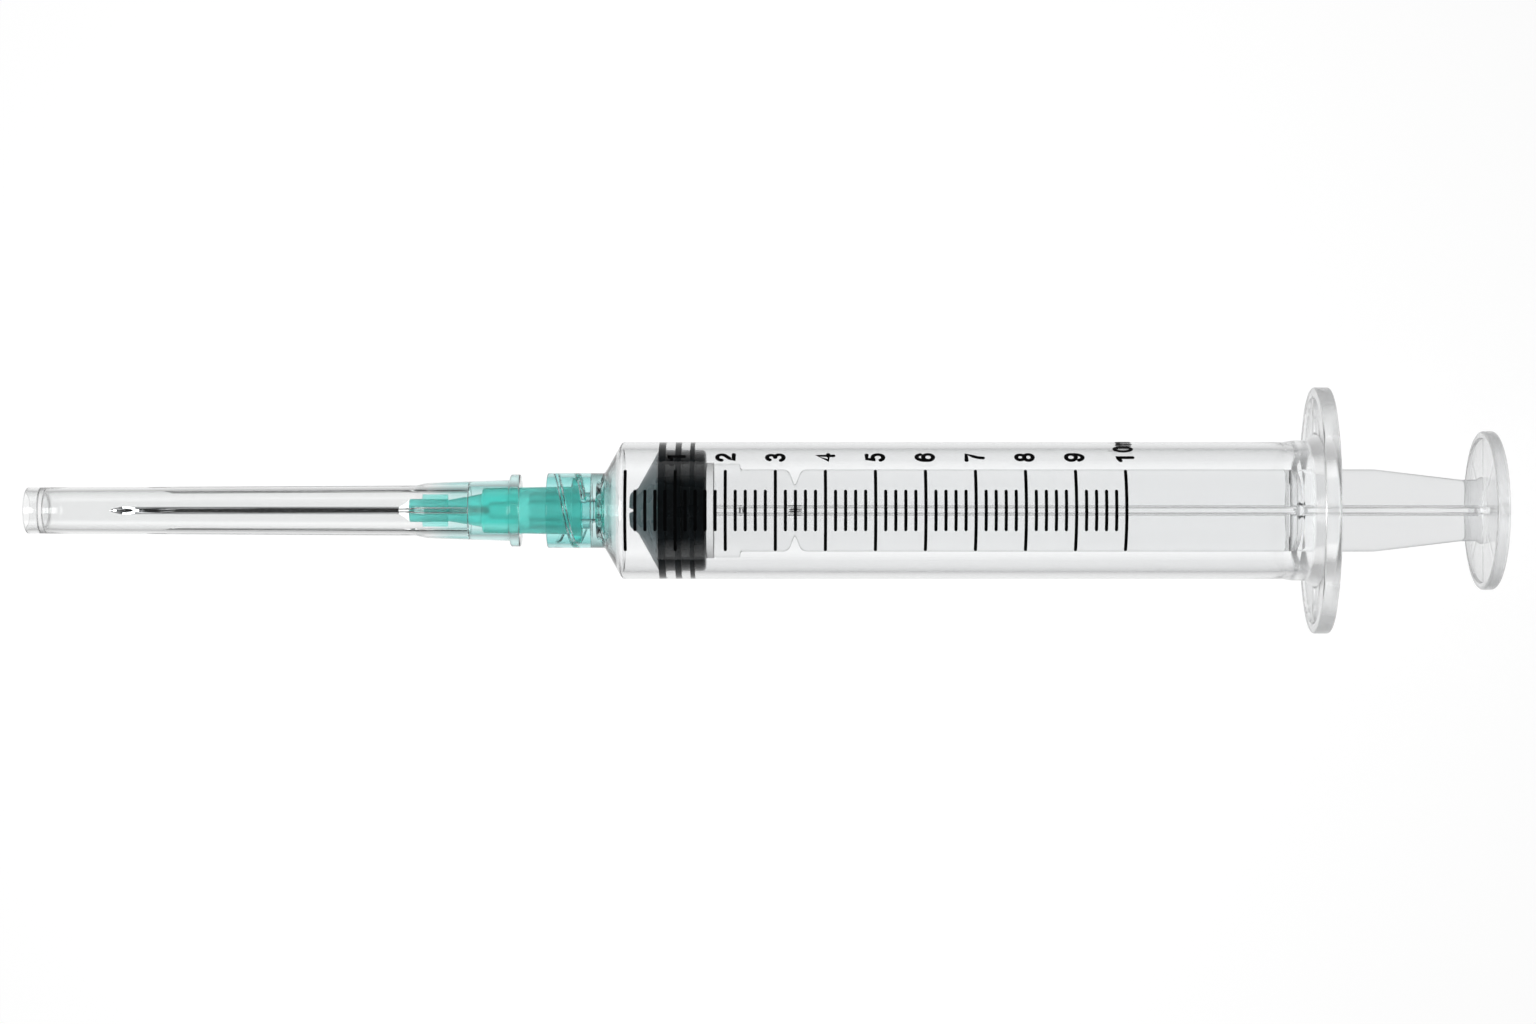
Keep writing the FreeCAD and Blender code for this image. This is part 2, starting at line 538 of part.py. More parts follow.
def on_flange_rim(edge):
    """Whether an edge lies on the flange's outer rim, in the plane of its front or its rear face."""
    box = edge.BoundBox
    if box.XLength > SAME_POINT:
        return False
    faces = (worked_out("Places.flange_front"), worked_out("Places.barrel_rear"))
    if min(abs(box.XMin - face) for face in faces) > SAME_POINT:
        return False
    middle = edge.valueAt((edge.FirstParameter + edge.LastParameter) / 2)
    reach = worked_out("Sizes.flange_length / 2")
    half_width = worked_out("Sizes.flange_width / 2")
    return abs(abs(middle.y) - reach) < SAME_POINT or abs(abs(middle.z) - half_width) < SAME_POINT


def make_scale():
    """Printed lines of the scale, a thin layer of ink on the upper side of the barrel."""
    body = new_body("graduation_scale")
    ink = "Places.barrel_radius + Sizes.ink_thickness"
    division = "Places.millilitre / Sizes.parts_per_millilitre"

    def line(name, middle, angle):
        return turn_profile(body, name, [
            (f"{middle} - Sizes.line_width / 2", "Places.barrel_radius"),
            (f"{middle} + Sizes.line_width / 2", "Places.barrel_radius"),
            (f"{middle} + Sizes.line_width / 2", ink),
            (f"{middle} - Sizes.line_width / 2", ink),
        ], plane="XZ_Plane", angle=angle)

    long_line = line("zero_line", "0", "Sizes.long_line_angle")
    repeat_along(body, "millilitre_lines", long_line, "Sizes.capacity + 1", "Places.millilitre")
    for number in range(1, round(sizes.parts_per_millilitre)):
        short_line = line(f"short_line_{number}", f"{number} * {division}", "Sizes.short_line_angle")
        repeat_along(body, f"short_lines_{number}", short_line, "Sizes.capacity", "Places.millilitre")
    return body


def make_stopper():
    """Rubber stopper: slotted nose, cone, three sealing rings and a hollow for the plunger's head."""
    body = new_body("stopper", "Places.stopper_front")
    shape = turn_profile(body, "outside", [
        ("Places.nose_front", "0"),
        ("Places.nose_front", "Sizes.nose_diameter / 2"),
        ("-Places.cone_height", "Sizes.nose_base_diameter / 2"),
        ("0", "Places.land_radius"),
        ("0", "Places.ring_radius"),
        ("Sizes.front_ring_width", "Places.ring_radius"),
        ("Sizes.front_ring_width", "Places.land_radius"),
        ("Sizes.middle_ring_start", "Places.land_radius"),
        ("Sizes.middle_ring_start", "Places.ring_radius"),
        ("Sizes.middle_ring_start + Sizes.middle_ring_width", "Places.ring_radius"),
        ("Sizes.middle_ring_start + Sizes.middle_ring_width", "Places.land_radius"),
        ("Sizes.rear_ring_start", "Places.land_radius"),
        ("Sizes.rear_ring_start", "Places.ring_radius"),
        ("Sizes.rear_ring_start + Sizes.rear_ring_width", "Places.ring_radius"),
        ("Sizes.rear_ring_start + Sizes.rear_ring_width", "Places.land_radius"),
        ("Sizes.stopper_length", "Places.land_radius"),
        ("Sizes.stopper_length", "0"),
    ])
    nose = round_edges(
        body, "nose_end", shape,
        hoop_edges(shape, "Places.nose_front", "Sizes.nose_diameter / 2"),
        "Sizes.nose_round",
    )
    rear = round_edges(
        body, "rear_edge", nose,
        hoop_edges(nose, "Sizes.stopper_length", "Places.land_radius"),
        "Sizes.stopper_edge_round",
    )

    # Slot across the nose, which leaves it two lobes.
    slot = new_sketch(body, "slot_section", "XY_Plane")
    add_polygon(slot, [
        (f"Places.nose_front - {OVERRUN}", "-Sizes.nose_slot_width / 2"),
        ("Places.nose_front", "-Sizes.nose_slot_width / 2"),
        ("Places.nose_front + Sizes.nose_slot_depth", "0"),
        ("Places.nose_front", "Sizes.nose_slot_width / 2"),
        (f"Places.nose_front - {OVERRUN}", "Sizes.nose_slot_width / 2"),
    ])
    cut = body.newObject("PartDesign::Pocket", "nose_slot")
    cut.Profile = slot
    cut.SideType = "Symmetric"
    cut.setExpression("Length", f"Sizes.nose_base_diameter + {OVERRUN}")
    slot.Visibility = False
    doc.recompute()
    assert cut.Shape.Volume < rear.Shape.Volume

    # Hollow with the form of the plunger's head and a little clearance.
    head_room = head_outline("Sizes.stopper_length", "Sizes.snap_clearance", OVERRUN)
    hollow = turn_profile(body, "hollow", head_room, kind="Groove")
    assert hollow.Shape.Volume < cut.Shape.Volume
    return body


def head_outline(seat, clearance, overrun):
    """The plunger's head in front of its seat: neck, barb and tip, all larger by clearance."""
    barb = f"{seat} - Sizes.head_neck_length"
    tip = f"{barb} - Sizes.head_barb_length - {clearance}"
    return [
        (tip, "0"),
        (tip, f"Sizes.head_tip_diameter / 2 + {clearance}"),
        (f"{barb} - Sizes.head_barb_length / 2", f"Sizes.head_barb_diameter / 2 + {clearance}"),
        (f"{barb} + {clearance}", f"Sizes.head_barb_diameter / 2 + {clearance}"),
        (f"{barb} + {clearance}", f"Sizes.head_neck_diameter / 2 + {clearance}"),
        (f"{seat} + {overrun}", f"Sizes.head_neck_diameter / 2 + {clearance}"),
        (f"{seat} + {overrun}", "0"),
    ]


def make_plunger():
    """Clear plunger: snap-in head, support disc, crossed ribs with break-off notches, and thumb disc."""
    body = new_body("plunger_rod", "Places.stopper_rear")

    # One rib's outline, along the upper edge and back along the lower one.
    notch_start = "Sizes.notch_place - Sizes.notch_width / 2"
    notch_stop = "Sizes.notch_place + Sizes.notch_width / 2"
    taper_stop = "Places.thumb_front - Sizes.grip_neck_length"
    edge = [
        ("0", "Sizes.support_disc_diameter / 4"),
        ("Sizes.support_disc_thickness", "Sizes.front_wing_width / 2"),
        ("Sizes.front_wing_length", "Sizes.front_wing_width / 2"),
        ("Sizes.front_wing_length", "Sizes.rib_width / 2"),
        (notch_start, "Sizes.rib_width / 2"),
        ("Sizes.notch_place", "Sizes.rib_width / 2 - Sizes.notch_depth"),
        (notch_stop, "Sizes.rib_width / 2"),
        (f"{taper_stop} - Sizes.grip_taper_length", "Sizes.rib_width / 2"),
        (taper_stop, "Sizes.grip_neck_width / 2"),
        ("Places.thumb_front + Sizes.thumb_recess", "Sizes.grip_neck_width / 2"),
    ]
    corners = edge + [(along, f"-({across})") for along, across in reversed(edge)]
    flat = new_sketch(body, "flat_rib_outline", "XY_Plane")
    add_polygon(flat, corners)
    flat_rib = pad_sketch(body, "flat_rib", flat, "Sizes.rib_thickness", centred=True)
    flat_rib = round_notch_shoulders(body, "flat_rib_shoulders", flat_rib, "y", (notch_start, notch_stop))
    upright = new_sketch(body, "upright_rib_outline", "XZ_Plane")
    add_polygon(upright, corners)
    upright_rib = pad_sketch(body, "upright_rib", upright, "Sizes.rib_thickness", centred=True)
    round_notch_shoulders(body, "upright_rib_shoulders", upright_rib, "z", (notch_start, notch_stop))

    # Head in front of the support disc, and the guide disc between the ribs.
    turn_profile(body, "head", head_outline("0", "0", "Sizes.support_disc_thickness"))
    turn_disc(body, "support_disc", "0", "Sizes.support_disc_thickness", "Sizes.support_disc_diameter / 2")
    guide = "Places.thumb_front - Sizes.guide_disc_place"
    turn_disc(body, "guide_disc", guide, "Sizes.guide_disc_thickness", "Sizes.rib_width / 2")

    # Thumb disc, hollowed a little inside its rim, with low spokes.
    recess = "Places.thumb_front + Sizes.thumb_recess"
    rim_inside = "Sizes.thumb_diameter / 2 - Sizes.thumb_rim"
    thumb = turn_profile(body, "thumb_disc", [
        (recess, "0"),
        (recess, rim_inside),
        ("Places.thumb_front", rim_inside),
        ("Places.thumb_front", "Sizes.thumb_diameter / 2"),
        ("Places.plunger_length", "Sizes.thumb_diameter / 2"),
        ("Places.plunger_length", "0"),
    ])
    edges = hoop_edges(thumb, "Places.thumb_front", "Sizes.thumb_diameter / 2")
    edges += hoop_edges(thumb, "Places.plunger_length", "Sizes.thumb_diameter / 2")
    round_edges(body, "thumb_edges", thumb, edges, "Sizes.thumb_edge_round")
    spoke = new_sketch(body, "spoke_outline", "YZ_Plane", "Places.thumb_front")
    add_polygon(spoke, [
        ("0", "-Sizes.spoke_width / 2"),
        (f"{rim_inside} + Sizes.spoke_width / 2", "-Sizes.spoke_width / 2"),
        (f"{rim_inside} + Sizes.spoke_width / 2", "Sizes.spoke_width / 2"),
        ("0", "Sizes.spoke_width / 2"),
    ])
    first_spoke = pad_sketch(body, "spoke", spoke, "Sizes.thumb_recess")
    repeat_round(body, "spokes", first_spoke, "Sizes.spoke_count")
    return body


def round_notch_shoulders(body, name, feature, across, shoulders):
    """Rounds the corners where each notch meets the rib's edge, on the rib that spreads along across."""
    half_width = worked_out("Sizes.rib_width / 2")
    wanted = [worked_out(place) for place in shoulders]
    names = []
    for number, edge in enumerate(feature.Shape.Edges, 1):
        middle = edge.CenterOfMass
        on_side = abs(abs(getattr(middle, across)) - half_width) < SAME_POINT
        at_shoulder = min(abs(middle.x - place) for place in wanted) < SAME_POINT
        if on_side and at_shoulder and edge.BoundBox.XLength < SAME_POINT:
            names.append(f"Edge{number}")
    return round_edges(body, name, feature, names, "Sizes.notch_shoulder_round")


def make_hub():
    """Needle hub, from its rear end forwards: socket, lock lugs, stepped body, waist, fins and nose."""
    body = new_body("needle_hub", "Places.hub_rear")
    lug_stop = "-Sizes.lug_inset - Sizes.lug_length"
    shape = turn_profile(body, "outside", [
        ("0", "0"),
        ("0", "Sizes.hub_rim_diameter / 2"),
        (lug_stop, "Sizes.hub_rim_diameter / 2"),
        (lug_stop, "Sizes.hub_rear_diameter / 2"),
        ("-Sizes.hub_body_length", "Sizes.hub_shoulder_diameter / 2"),
        ("-Sizes.hub_body_length", "Sizes.waist_rear_diameter / 2"),
        ("-Places.waist_front", "Sizes.waist_front_diameter / 2"),
        ("-Places.waist_front", "Sizes.hub_nose_diameter / 2"),
        ("-Places.hub_length", "Sizes.hub_nose_diameter / 2"),
        ("-Places.hub_length", "0"),
    ])
    chamfer_edges(
        body, "shoulder_edge", shape,
        hoop_edges(shape, "-Sizes.hub_body_length", "Sizes.hub_shoulder_diameter / 2"),
        "Sizes.hub_shoulder_chamfer",
    )
    lug = turn_profile(body, "lug", [
        ("-Sizes.lug_inset", "Sizes.hub_rear_diameter / 2 - Sizes.lug_inset"),
        ("-Sizes.lug_inset", "Sizes.lug_diameter / 2"),
        (lug_stop, "Sizes.lug_diameter / 2"),
        (lug_stop, "Sizes.hub_rear_diameter / 2 - Sizes.lug_inset"),
    ], angle="Sizes.lug_angle")
    repeat_round(body, "lugs", lug, "Sizes.thread_starts")
    fin = new_sketch(body, "fin_outline", "XY_Plane")
    fin_root = "Sizes.hub_nose_diameter / 4"
    add_polygon(fin, [
        ("-Places.waist_front", fin_root),
        ("-Places.waist_front", "Sizes.fin_diameter / 2"),
        ("-Places.fin_front", "Sizes.fin_diameter / 2"),
        ("-Places.fin_front", fin_root),
    ])
    first_fin = pad_sketch(body, "fin", fin, "Sizes.fin_thickness", centred=True)
    fins = repeat_round(body, "fins", first_fin, "Sizes.fin_count")
    seat_rear = "-Places.hub_length + Sizes.cannula_seat"
    inside = turn_profile(body, "socket", [
        (f"{OVERRUN}", "0"),
        (f"{OVERRUN}", f"Places.socket_mouth_radius + {OVERRUN} * Sizes.luer_taper / 2"),
        ("-Sizes.socket_depth", "Places.socket_floor_radius"),
        ("-Sizes.socket_depth", "Sizes.throat_diameter / 2"),
        (seat_rear, "Sizes.throat_diameter / 2"),
        (seat_rear, "Places.cannula_seat_radius"),
        (f"-Places.hub_length - {OVERRUN}", "Places.cannula_seat_radius"),
        (f"-Places.hub_length - {OVERRUN}", "0"),
    ], kind="Groove")
    assert inside.Shape.Volume < fins.Shape.Volume
    return body


def make_cannula():
    """Steel tube, its point ground to a long bevel that faces up and two steeper facets beside it."""
    body = new_body("cannula", "Places.needle_point")
    radius = "Sizes.cannula_diameter / 2"
    tube = turn_profile(body, "tube", [
        ("0", "Sizes.cannula_bore / 2"),
        ("0", radius),
        ("Places.cannula_length", radius),
        ("Places.cannula_length", "Sizes.cannula_bore / 2"),
    ])
    section = new_sketch(body, "bevel_section", "XZ_Plane")
    bevel = grind_point(body, "bevel", section, f"-{radius}", "Sizes.bevel_length")
    assert bevel.Shape.Volume < tube.Shape.Volume

    # Each facet starts at the point too, which lies this much higher in its turned sketch.
    tilted = new_sketch(body, "facet_section", "XZ_Plane")
    tilted.AttachmentOffset = FreeCAD.Placement(
        FreeCAD.Vector(0, 0, 0), FreeCAD.Rotation(FreeCAD.Vector(1, 0, 0), worked_out("Sizes.side_facet_turn"))
    )
    tilted.setExpression("AttachmentOffset.Rotation.Angle", "Sizes.side_facet_turn * 1 deg")
    start = f"-{radius} * cos(Sizes.side_facet_turn * 1 deg)"
    facet = grind_point(body, "facet", tilted, start, "Sizes.side_facet_length")
    facets = body.newObject("PartDesign::Mirrored", "facets")
    facets.Originals = [facet]
    facets.MirrorPlane = (datum(body, "XZ_Plane"), [""])
    body.Tip = facets
    doc.recompute()
    assert facets.Shape.Volume < facet.Shape.Volume < bevel.Shape.Volume
    return body


def grind_point(body, name, section, start, length):
    """Grinds the tube down to a line that rises from start to the tube's other side over that length."""
    radius = "Sizes.cannula_diameter / 2"
    add_polygon(section, [
        ("0", start),
        (length, radius),
        (length, f"{radius} + {OVERRUN}"),
        (f"-{OVERRUN}", f"{radius} + {OVERRUN}"),
        (f"-{OVERRUN}", start),
    ])
    cut = body.newObject("PartDesign::Pocket", name)
    cut.Profile = section
    cut.SideType = "Symmetric"
    cut.setExpression("Length", f"Sizes.cannula_diameter + {OVERRUN}")
    section.Visibility = False
    doc.recompute()
    return cut


def make_adhesive():
    """Cone of adhesive that holds the cannula at the hub's front end."""
    body = new_body("adhesive_bead", "Places.hub_rear - Places.hub_length")
    turn_profile(body, "cone", [
        ("0", "Sizes.cannula_diameter / 2"),
        ("0", "Sizes.hub_nose_diameter / 2"),
        ("-Sizes.adhesive_length", "Sizes.cannula_diameter / 2 + Sizes.cannula_clearance"),
        ("-Sizes.adhesive_length", "Sizes.cannula_diameter / 2"),
    ])
    return body


def make_sheath():
    """Clear needle sheath, from its ringed mouth forwards to its closed end, with ribs inside."""
    body = new_body("needle_sheath", "Places.sheath_rear")
    shell = turn_profile(body, "shell", [
        ("0", "Places.sheath_mouth_radius"),
        ("0", "Sizes.sheath_flange_diameter / 2"),
        ("-Sizes.sheath_flange_length", "Sizes.sheath_flange_diameter / 2"),
        ("-Sizes.sheath_flange_length", "Sizes.skirt_rear_diameter / 2"),
        ("-Places.skirt_front", "Sizes.skirt_front_diameter / 2"),
        ("-Places.tube_rear", "Sizes.tube_rear_diameter / 2"),
        ("-Places.sheath_length", "Sizes.tube_front_diameter / 2"),
        ("-Places.sheath_length", "Places.tube_front_bore"),
        ("-Places.sheath_floor - Sizes.end_wall", "Places.tube_front_bore"),
        ("-Places.sheath_floor - Sizes.end_wall", "0"),
        ("-Places.sheath_floor", "0"),
        ("-Places.sheath_floor", "Places.tube_front_bore"),
        ("-Places.tube_rear", "Places.tube_rear_bore"),
        ("-Places.sheath_step_place", "Places.tube_rear_bore"),
        ("-Places.sheath_step_place", "Places.sheath_mouth_radius"),
    ])
    rooted = "Sizes.sheath_wall / 2"
    grip = new_sketch(body, "grip_rib_outline", "XY_Plane")
    add_polygon(grip, [
        ("-Places.sheath_step_place", "Places.grip_rib_radius"),
        ("-Places.sheath_step_place", f"Places.tube_rear_bore + {rooted}"),
        ("-Places.tube_rear", f"Places.tube_rear_bore + {rooted}"),
        ("-Places.tube_rear", "Places.grip_rib_radius"),
    ])
    grip_rib = pad_sketch(body, "grip_rib", grip, "Sizes.grip_rib_thickness", centred=True)
    grip_ribs = repeat_round(body, "grip_ribs", grip_rib, "Sizes.tube_rib_count")
    low = new_sketch(body, "tube_rib_outline", "XY_Plane")
    rib_end = "-(Places.tube_rear + Sizes.tube_rib_length)"
    slope = "(Places.tube_rear_bore - Places.tube_front_bore) / (Places.sheath_floor - Places.tube_rear)"
    end_bore = f"Places.tube_rear_bore - Sizes.tube_rib_length * {slope}"
    add_polygon(low, [
        ("-Places.tube_rear", "Places.tube_rear_bore - Sizes.tube_rib_height"),
        ("-Places.tube_rear", f"Places.tube_rear_bore + {rooted}"),
        (rib_end, f"{end_bore} + {rooted}"),
        (rib_end, f"{end_bore} - Sizes.tube_rib_height"),
    ])
    tube_rib = pad_sketch(body, "tube_rib", low, "Sizes.tube_rib_thickness", centred=True)
    tube_ribs = repeat_round(body, "tube_ribs", tube_rib, "Sizes.tube_rib_count")
    assert tube_ribs.Shape.Volume > grip_ribs.Shape.Volume > shell.Shape.Volume
    return body


bodies = [
    make_barrel(),
    make_scale(),
    make_stopper(),
    make_plunger(),
    make_hub(),
    make_cannula(),
    make_adhesive(),
    make_sheath(),
]

# Every object must have been worked out, and every piece must be a sound shape, before any is written.
doc.recompute()
for item in doc.Objects:
    if {"Invalid", "Error"} & set(item.State):
        raise RuntimeError(f"{item.Label} failed: {item.State}")
for body in bodies:
    if body.Shape.isNull() or not body.Shape.isValid():
        raise RuntimeError(f"{body.Label} has no valid shape")

os.makedirs("parts", exist_ok=True)
for body in bodies:
    body.Shape.exportStep(os.path.join("parts", f"{body.Label}.step"))
    box = body.Shape.BoundBox
    print(
        f"{body.Label}: {len(body.Shape.Solids)} solids, {body.Shape.Volume:.3f} mm3,"
        f" x {box.XMin:.2f} to {box.XMax:.2f}, y {box.YMin:.2f} to {box.YMax:.2f},"
        f" z {box.ZMin:.2f} to {box.ZMax:.2f}"
    )
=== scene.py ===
"""Look of a ten millilitre luer lock syringe with a sheathed needle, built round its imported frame."""
import math

import bpy
import numpy as np
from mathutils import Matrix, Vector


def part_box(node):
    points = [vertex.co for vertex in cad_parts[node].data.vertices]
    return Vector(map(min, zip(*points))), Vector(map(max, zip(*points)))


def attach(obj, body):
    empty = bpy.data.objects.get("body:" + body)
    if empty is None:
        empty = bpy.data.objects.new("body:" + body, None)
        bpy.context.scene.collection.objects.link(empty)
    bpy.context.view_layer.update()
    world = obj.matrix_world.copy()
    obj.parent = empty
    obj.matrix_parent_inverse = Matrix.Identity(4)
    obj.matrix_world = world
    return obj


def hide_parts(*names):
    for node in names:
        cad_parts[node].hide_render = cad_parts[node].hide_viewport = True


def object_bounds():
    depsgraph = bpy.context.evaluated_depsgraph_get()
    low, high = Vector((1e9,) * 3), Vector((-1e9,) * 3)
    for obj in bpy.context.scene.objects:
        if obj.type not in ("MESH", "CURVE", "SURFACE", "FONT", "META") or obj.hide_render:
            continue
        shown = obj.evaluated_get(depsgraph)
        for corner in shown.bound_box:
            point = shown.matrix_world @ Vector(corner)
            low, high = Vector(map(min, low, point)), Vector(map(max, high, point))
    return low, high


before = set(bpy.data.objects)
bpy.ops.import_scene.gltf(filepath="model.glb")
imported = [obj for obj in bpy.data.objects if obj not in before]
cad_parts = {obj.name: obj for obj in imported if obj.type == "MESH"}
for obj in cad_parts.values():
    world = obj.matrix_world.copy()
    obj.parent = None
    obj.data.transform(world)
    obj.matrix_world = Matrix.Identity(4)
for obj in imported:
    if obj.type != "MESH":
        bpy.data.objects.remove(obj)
cad_low, cad_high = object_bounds()

MM = 0.001
FULL_TURN = 2 * math.pi


def node_box(node):
    """A node's lowest and highest corners in millimetres."""
    low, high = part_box(node)
    return np.array(low) / MM, np.array(high) / MM


barrel_low, barrel_high = node_box("barrel")
stopper_high = node_box("stopper")[1]
plunger_high = node_box("plunger_rod")[1]
hub_low, hub_high = node_box("needle_hub")
cannula_low, cannula_high = node_box("cannula")
adhesive_low, adhesive_high = node_box("adhesive_bead")
sheath_low, sheath_high = node_box("needle_sheath")

# Barrel, in millimetres like every size below. The origin is where the cylinder of the bore begins.
BORE_RADIUS = 7.375
BARREL_RADIUS = 8.15
CAPACITY = 10
MILLILITRE = 1000 / (math.pi * BORE_RADIUS ** 2)
FRONT_SLOPE = math.tan(math.radians(60.5))
FRONT_CORNER_ROUND = 0.5
INNER_CORNER = -0.5
INNER_CORNER_ROUND = 0.2
BAND_RADIUS = 8.35
BAND_LENGTH = 2.4
BAND_TAPER = 1.2
FLANGE_THICKNESS = 1.9
FLANGE_HALF_LENGTH = 14.65
FLANGE_HALF_WIDTH = 10.2
FLANGE_END_RADIUS = 8.0
FLANGE_FOOT = 0.9
FLANGE_RECESS = 0.35
FLANGE_BORDER = 1.2
FLANGE_EDGE_ROUND = 0.4
FLANGE_RIB = 0.6
ARCH_REACH = 11.2
ARCH_HALF_WIDTH = 3.4
ARCH_HEIGHT = 0.1
MOUTH_CHAMFER = 0.15
BEAD_DEPTH = 5.4
BEAD_HEIGHT = 0.05
BEAD_HALF_WIDTH = 0.8
FRONT_CORNER = -0.619
POCKET_MOUTH = -2.921
POCKET_MOUTH_RADIUS = 2.8
POCKET_FLOOR = -3.690
POCKET_FLOOR_RADIUS = 2.35
COLLAR_FLOOR = -4.190
COLLAR_REAR = -2.703
COLLAR_FRONT = -9.503
COLLAR_RADIUS = 4.465
COLLAR_BORE = 4.0
RIDGE_CREST_RADIUS = 3.5
RIDGE_CREST_WIDTH = 0.3
RIDGE_FOOT_WIDTH = 0.62
RIDGE_LEAD = 5.0
RIDGE_STARTS = 2
RIDGE_ENTRY = 0.97
RIDGE_RUNOUT = 0.75
RIDGE_FIRST_TURN = 0.25
RIDGE_RISES_PER_TURN = 12
TIP_RADIUS = 1.975
TIP_ROOT_RADIUS = 2.197
TIP_BORE = 1.05
BARREL_SPOKES = 300
FLANGE_CROWDING = 0.2
RELIEF_SLOPE = 0.3

# Stopper.
NOSE_RADIUS = 2.0
NOSE_BASE_RADIUS = 2.7
NOSE_LENGTH = 1.0
NOSE_SLOT_HALF_WIDTH = 0.35
NOSE_SLOT_DEPTH = 0.6
STOPPER_LENGTH = 5.53
STOPPER_SPOKES = 256
LAND_RADIUS = 7.19
SEAL_RADIUS = 7.38
SEALS = ((0.0, 0.85), (1.95, 2.70), (3.70, 4.27))

# Plunger's head, and the hollow that it fits.
HEAD_NECK_RADIUS = 2.3
HEAD_NECK_LENGTH = 1.3
HEAD_BARB_RADIUS = 3.5
HEAD_TIP_RADIUS = 2.3
HEAD_BARB_LENGTH = 2.2
SNAP_CLEARANCE = 0.05

# Plunger, behind its seat on the stopper.
SUPPORT_RADIUS = 5.7
SUPPORT_THICKNESS = 1.0
FRONT_WING = 5.6
FRONT_WING_LENGTH = 4.07
RIB_REACH = 4.9
RIB_HALF_THICKNESS = 0.5
NOTCH_PLACE = 10.57
NOTCH_HALF_WIDTH = 0.8
NOTCH_DEPTH = 2.0
NOTCH_SHOULDER_ROUND = 0.9
GUIDE_PLACE = 22.5
GUIDE_THICKNESS = 0.8
GRIP_REACH = 3.66
GRIP_LENGTH = 2.4
GRIP_TAPER = 10.3
THUMB_RADIUS = 9.45
THUMB_THICKNESS = 1.55
THUMB_EDGE_ROUND = 0.35
THUMB_RIM = 0.85
THUMB_RECESS = 0.3
SPOKES = 8
SPOKE_HALF_WIDTH = 0.2
SPOKE_HEIGHT = 0.06

# Hub, forwards from its rear end.
SOCKET_MOUTH_RADIUS = 2.19
SOCKET_DEPTH = 7.75
SOCKET_FLOOR_RADIUS = 1.96
THROAT_RADIUS = 0.8
CANNULA_SEAT = 9.5
HUB_RIM_RADIUS = 3.15
HUB_REAR_RADIUS = 2.85
HUB_SHOULDER_RADIUS = 2.65
HUB_BODY_LENGTH = 11.75
WAIST_REAR_RADIUS = 2.0
WAIST_FRONT_RADIUS = 1.25
WAIST_LENGTH = 4.1
HUB_NOSE_RADIUS = 1.37
FIN_REACH = 1.9
FIN_LENGTH = 2.8
FIN_HALF_THICKNESS = 0.35
LUG_RADIUS = 3.9
LUG_INSET = 0.05
LUG_LENGTH = 1.0
LUG_HALF_ANGLE = math.radians(20)
LUG_SIDE_ANGLE = math.radians(5)
HUB_SPOKES = 288

# Cannula and the bead that holds it, whose side is a curve of the power ADHESIVE_CURVE.
ADHESIVE_CURVE = 1.2
CANNULA_RADIUS = 0.45
CANNULA_BORE_RADIUS = 0.275
BEVEL_LENGTH = 3.7
FACET_LENGTH = 2.4
FACET_TURN = math.radians(35)
CANNULA_SPOKES = 96

# Sheath, forwards from its mouth.
SHEATH_MOUTH_RADIUS = 2.89
SHEATH_FLANGE_RADIUS = 4.3
SHEATH_FLANGE_LENGTH = 1.2
SKIRT_REAR_RADIUS = 3.63
SKIRT_FRONT_RADIUS = 3.3
SKIRT_LENGTH = 10.0
SHEATH_SHOULDER_LENGTH = 1.2
TUBE_REAR_RADIUS = 3.0
TUBE_FRONT_RADIUS = 2.74
SHEATH_WALL = 0.5
SHEATH_STEP = 6.1
GRIP_RIB_RADIUS = 2.1
GRIP_RIB_HALF_THICKNESS = 0.25
TUBE_RIB_LENGTH = 30.0
TUBE_RIB_HEIGHT = 0.3
TUBE_RIB_HALF_THICKNESS = 0.175
END_WALL = 0.4
END_RECESS = 1.7
SHEATH_SPOKES = 288
RIB_SIDE_WIDTH = 0.1

# For all pieces: the most of a line that a round takes up, from which angle an edge is sharp, a tolerance.
ROUND_ROOM = 0.48
SHARP_ANGLE = math.radians(40)
TINY = 1e-6

# Printed scale.
LINE_HALF_WIDTH = 0.19
LONG_LINE_TURN = math.radians(71.2)
SHORT_LINE_TURN = math.radians(34.6)
LINES_PER_MILLILITRE = 5
INK_HEIGHT = 0.02
INK_DEPTH = 0.003
LONG_LINE_STEPS = 41
SHORT_LINE_STEPS = 21
NUMERAL_HEIGHT = 2.44
NUMERAL_WIDTH = 1.62
NUMERAL_STROKE_HALF_WIDTH = 0.25
NUMERAL_TURN = math.radians(50)
LETTER_ADVANCE = 1.97
NARROW_LETTER_STEP = 0.95
TEN_SHIFT = -0.2


def smooth_step(value):
    """0 below 0, 1 above 1, and the curve t^2 (3 - 2 t) between them."""
    t = np.clip(value, 0.0, 1.0)
    return t * t * (3 - 2 * t)


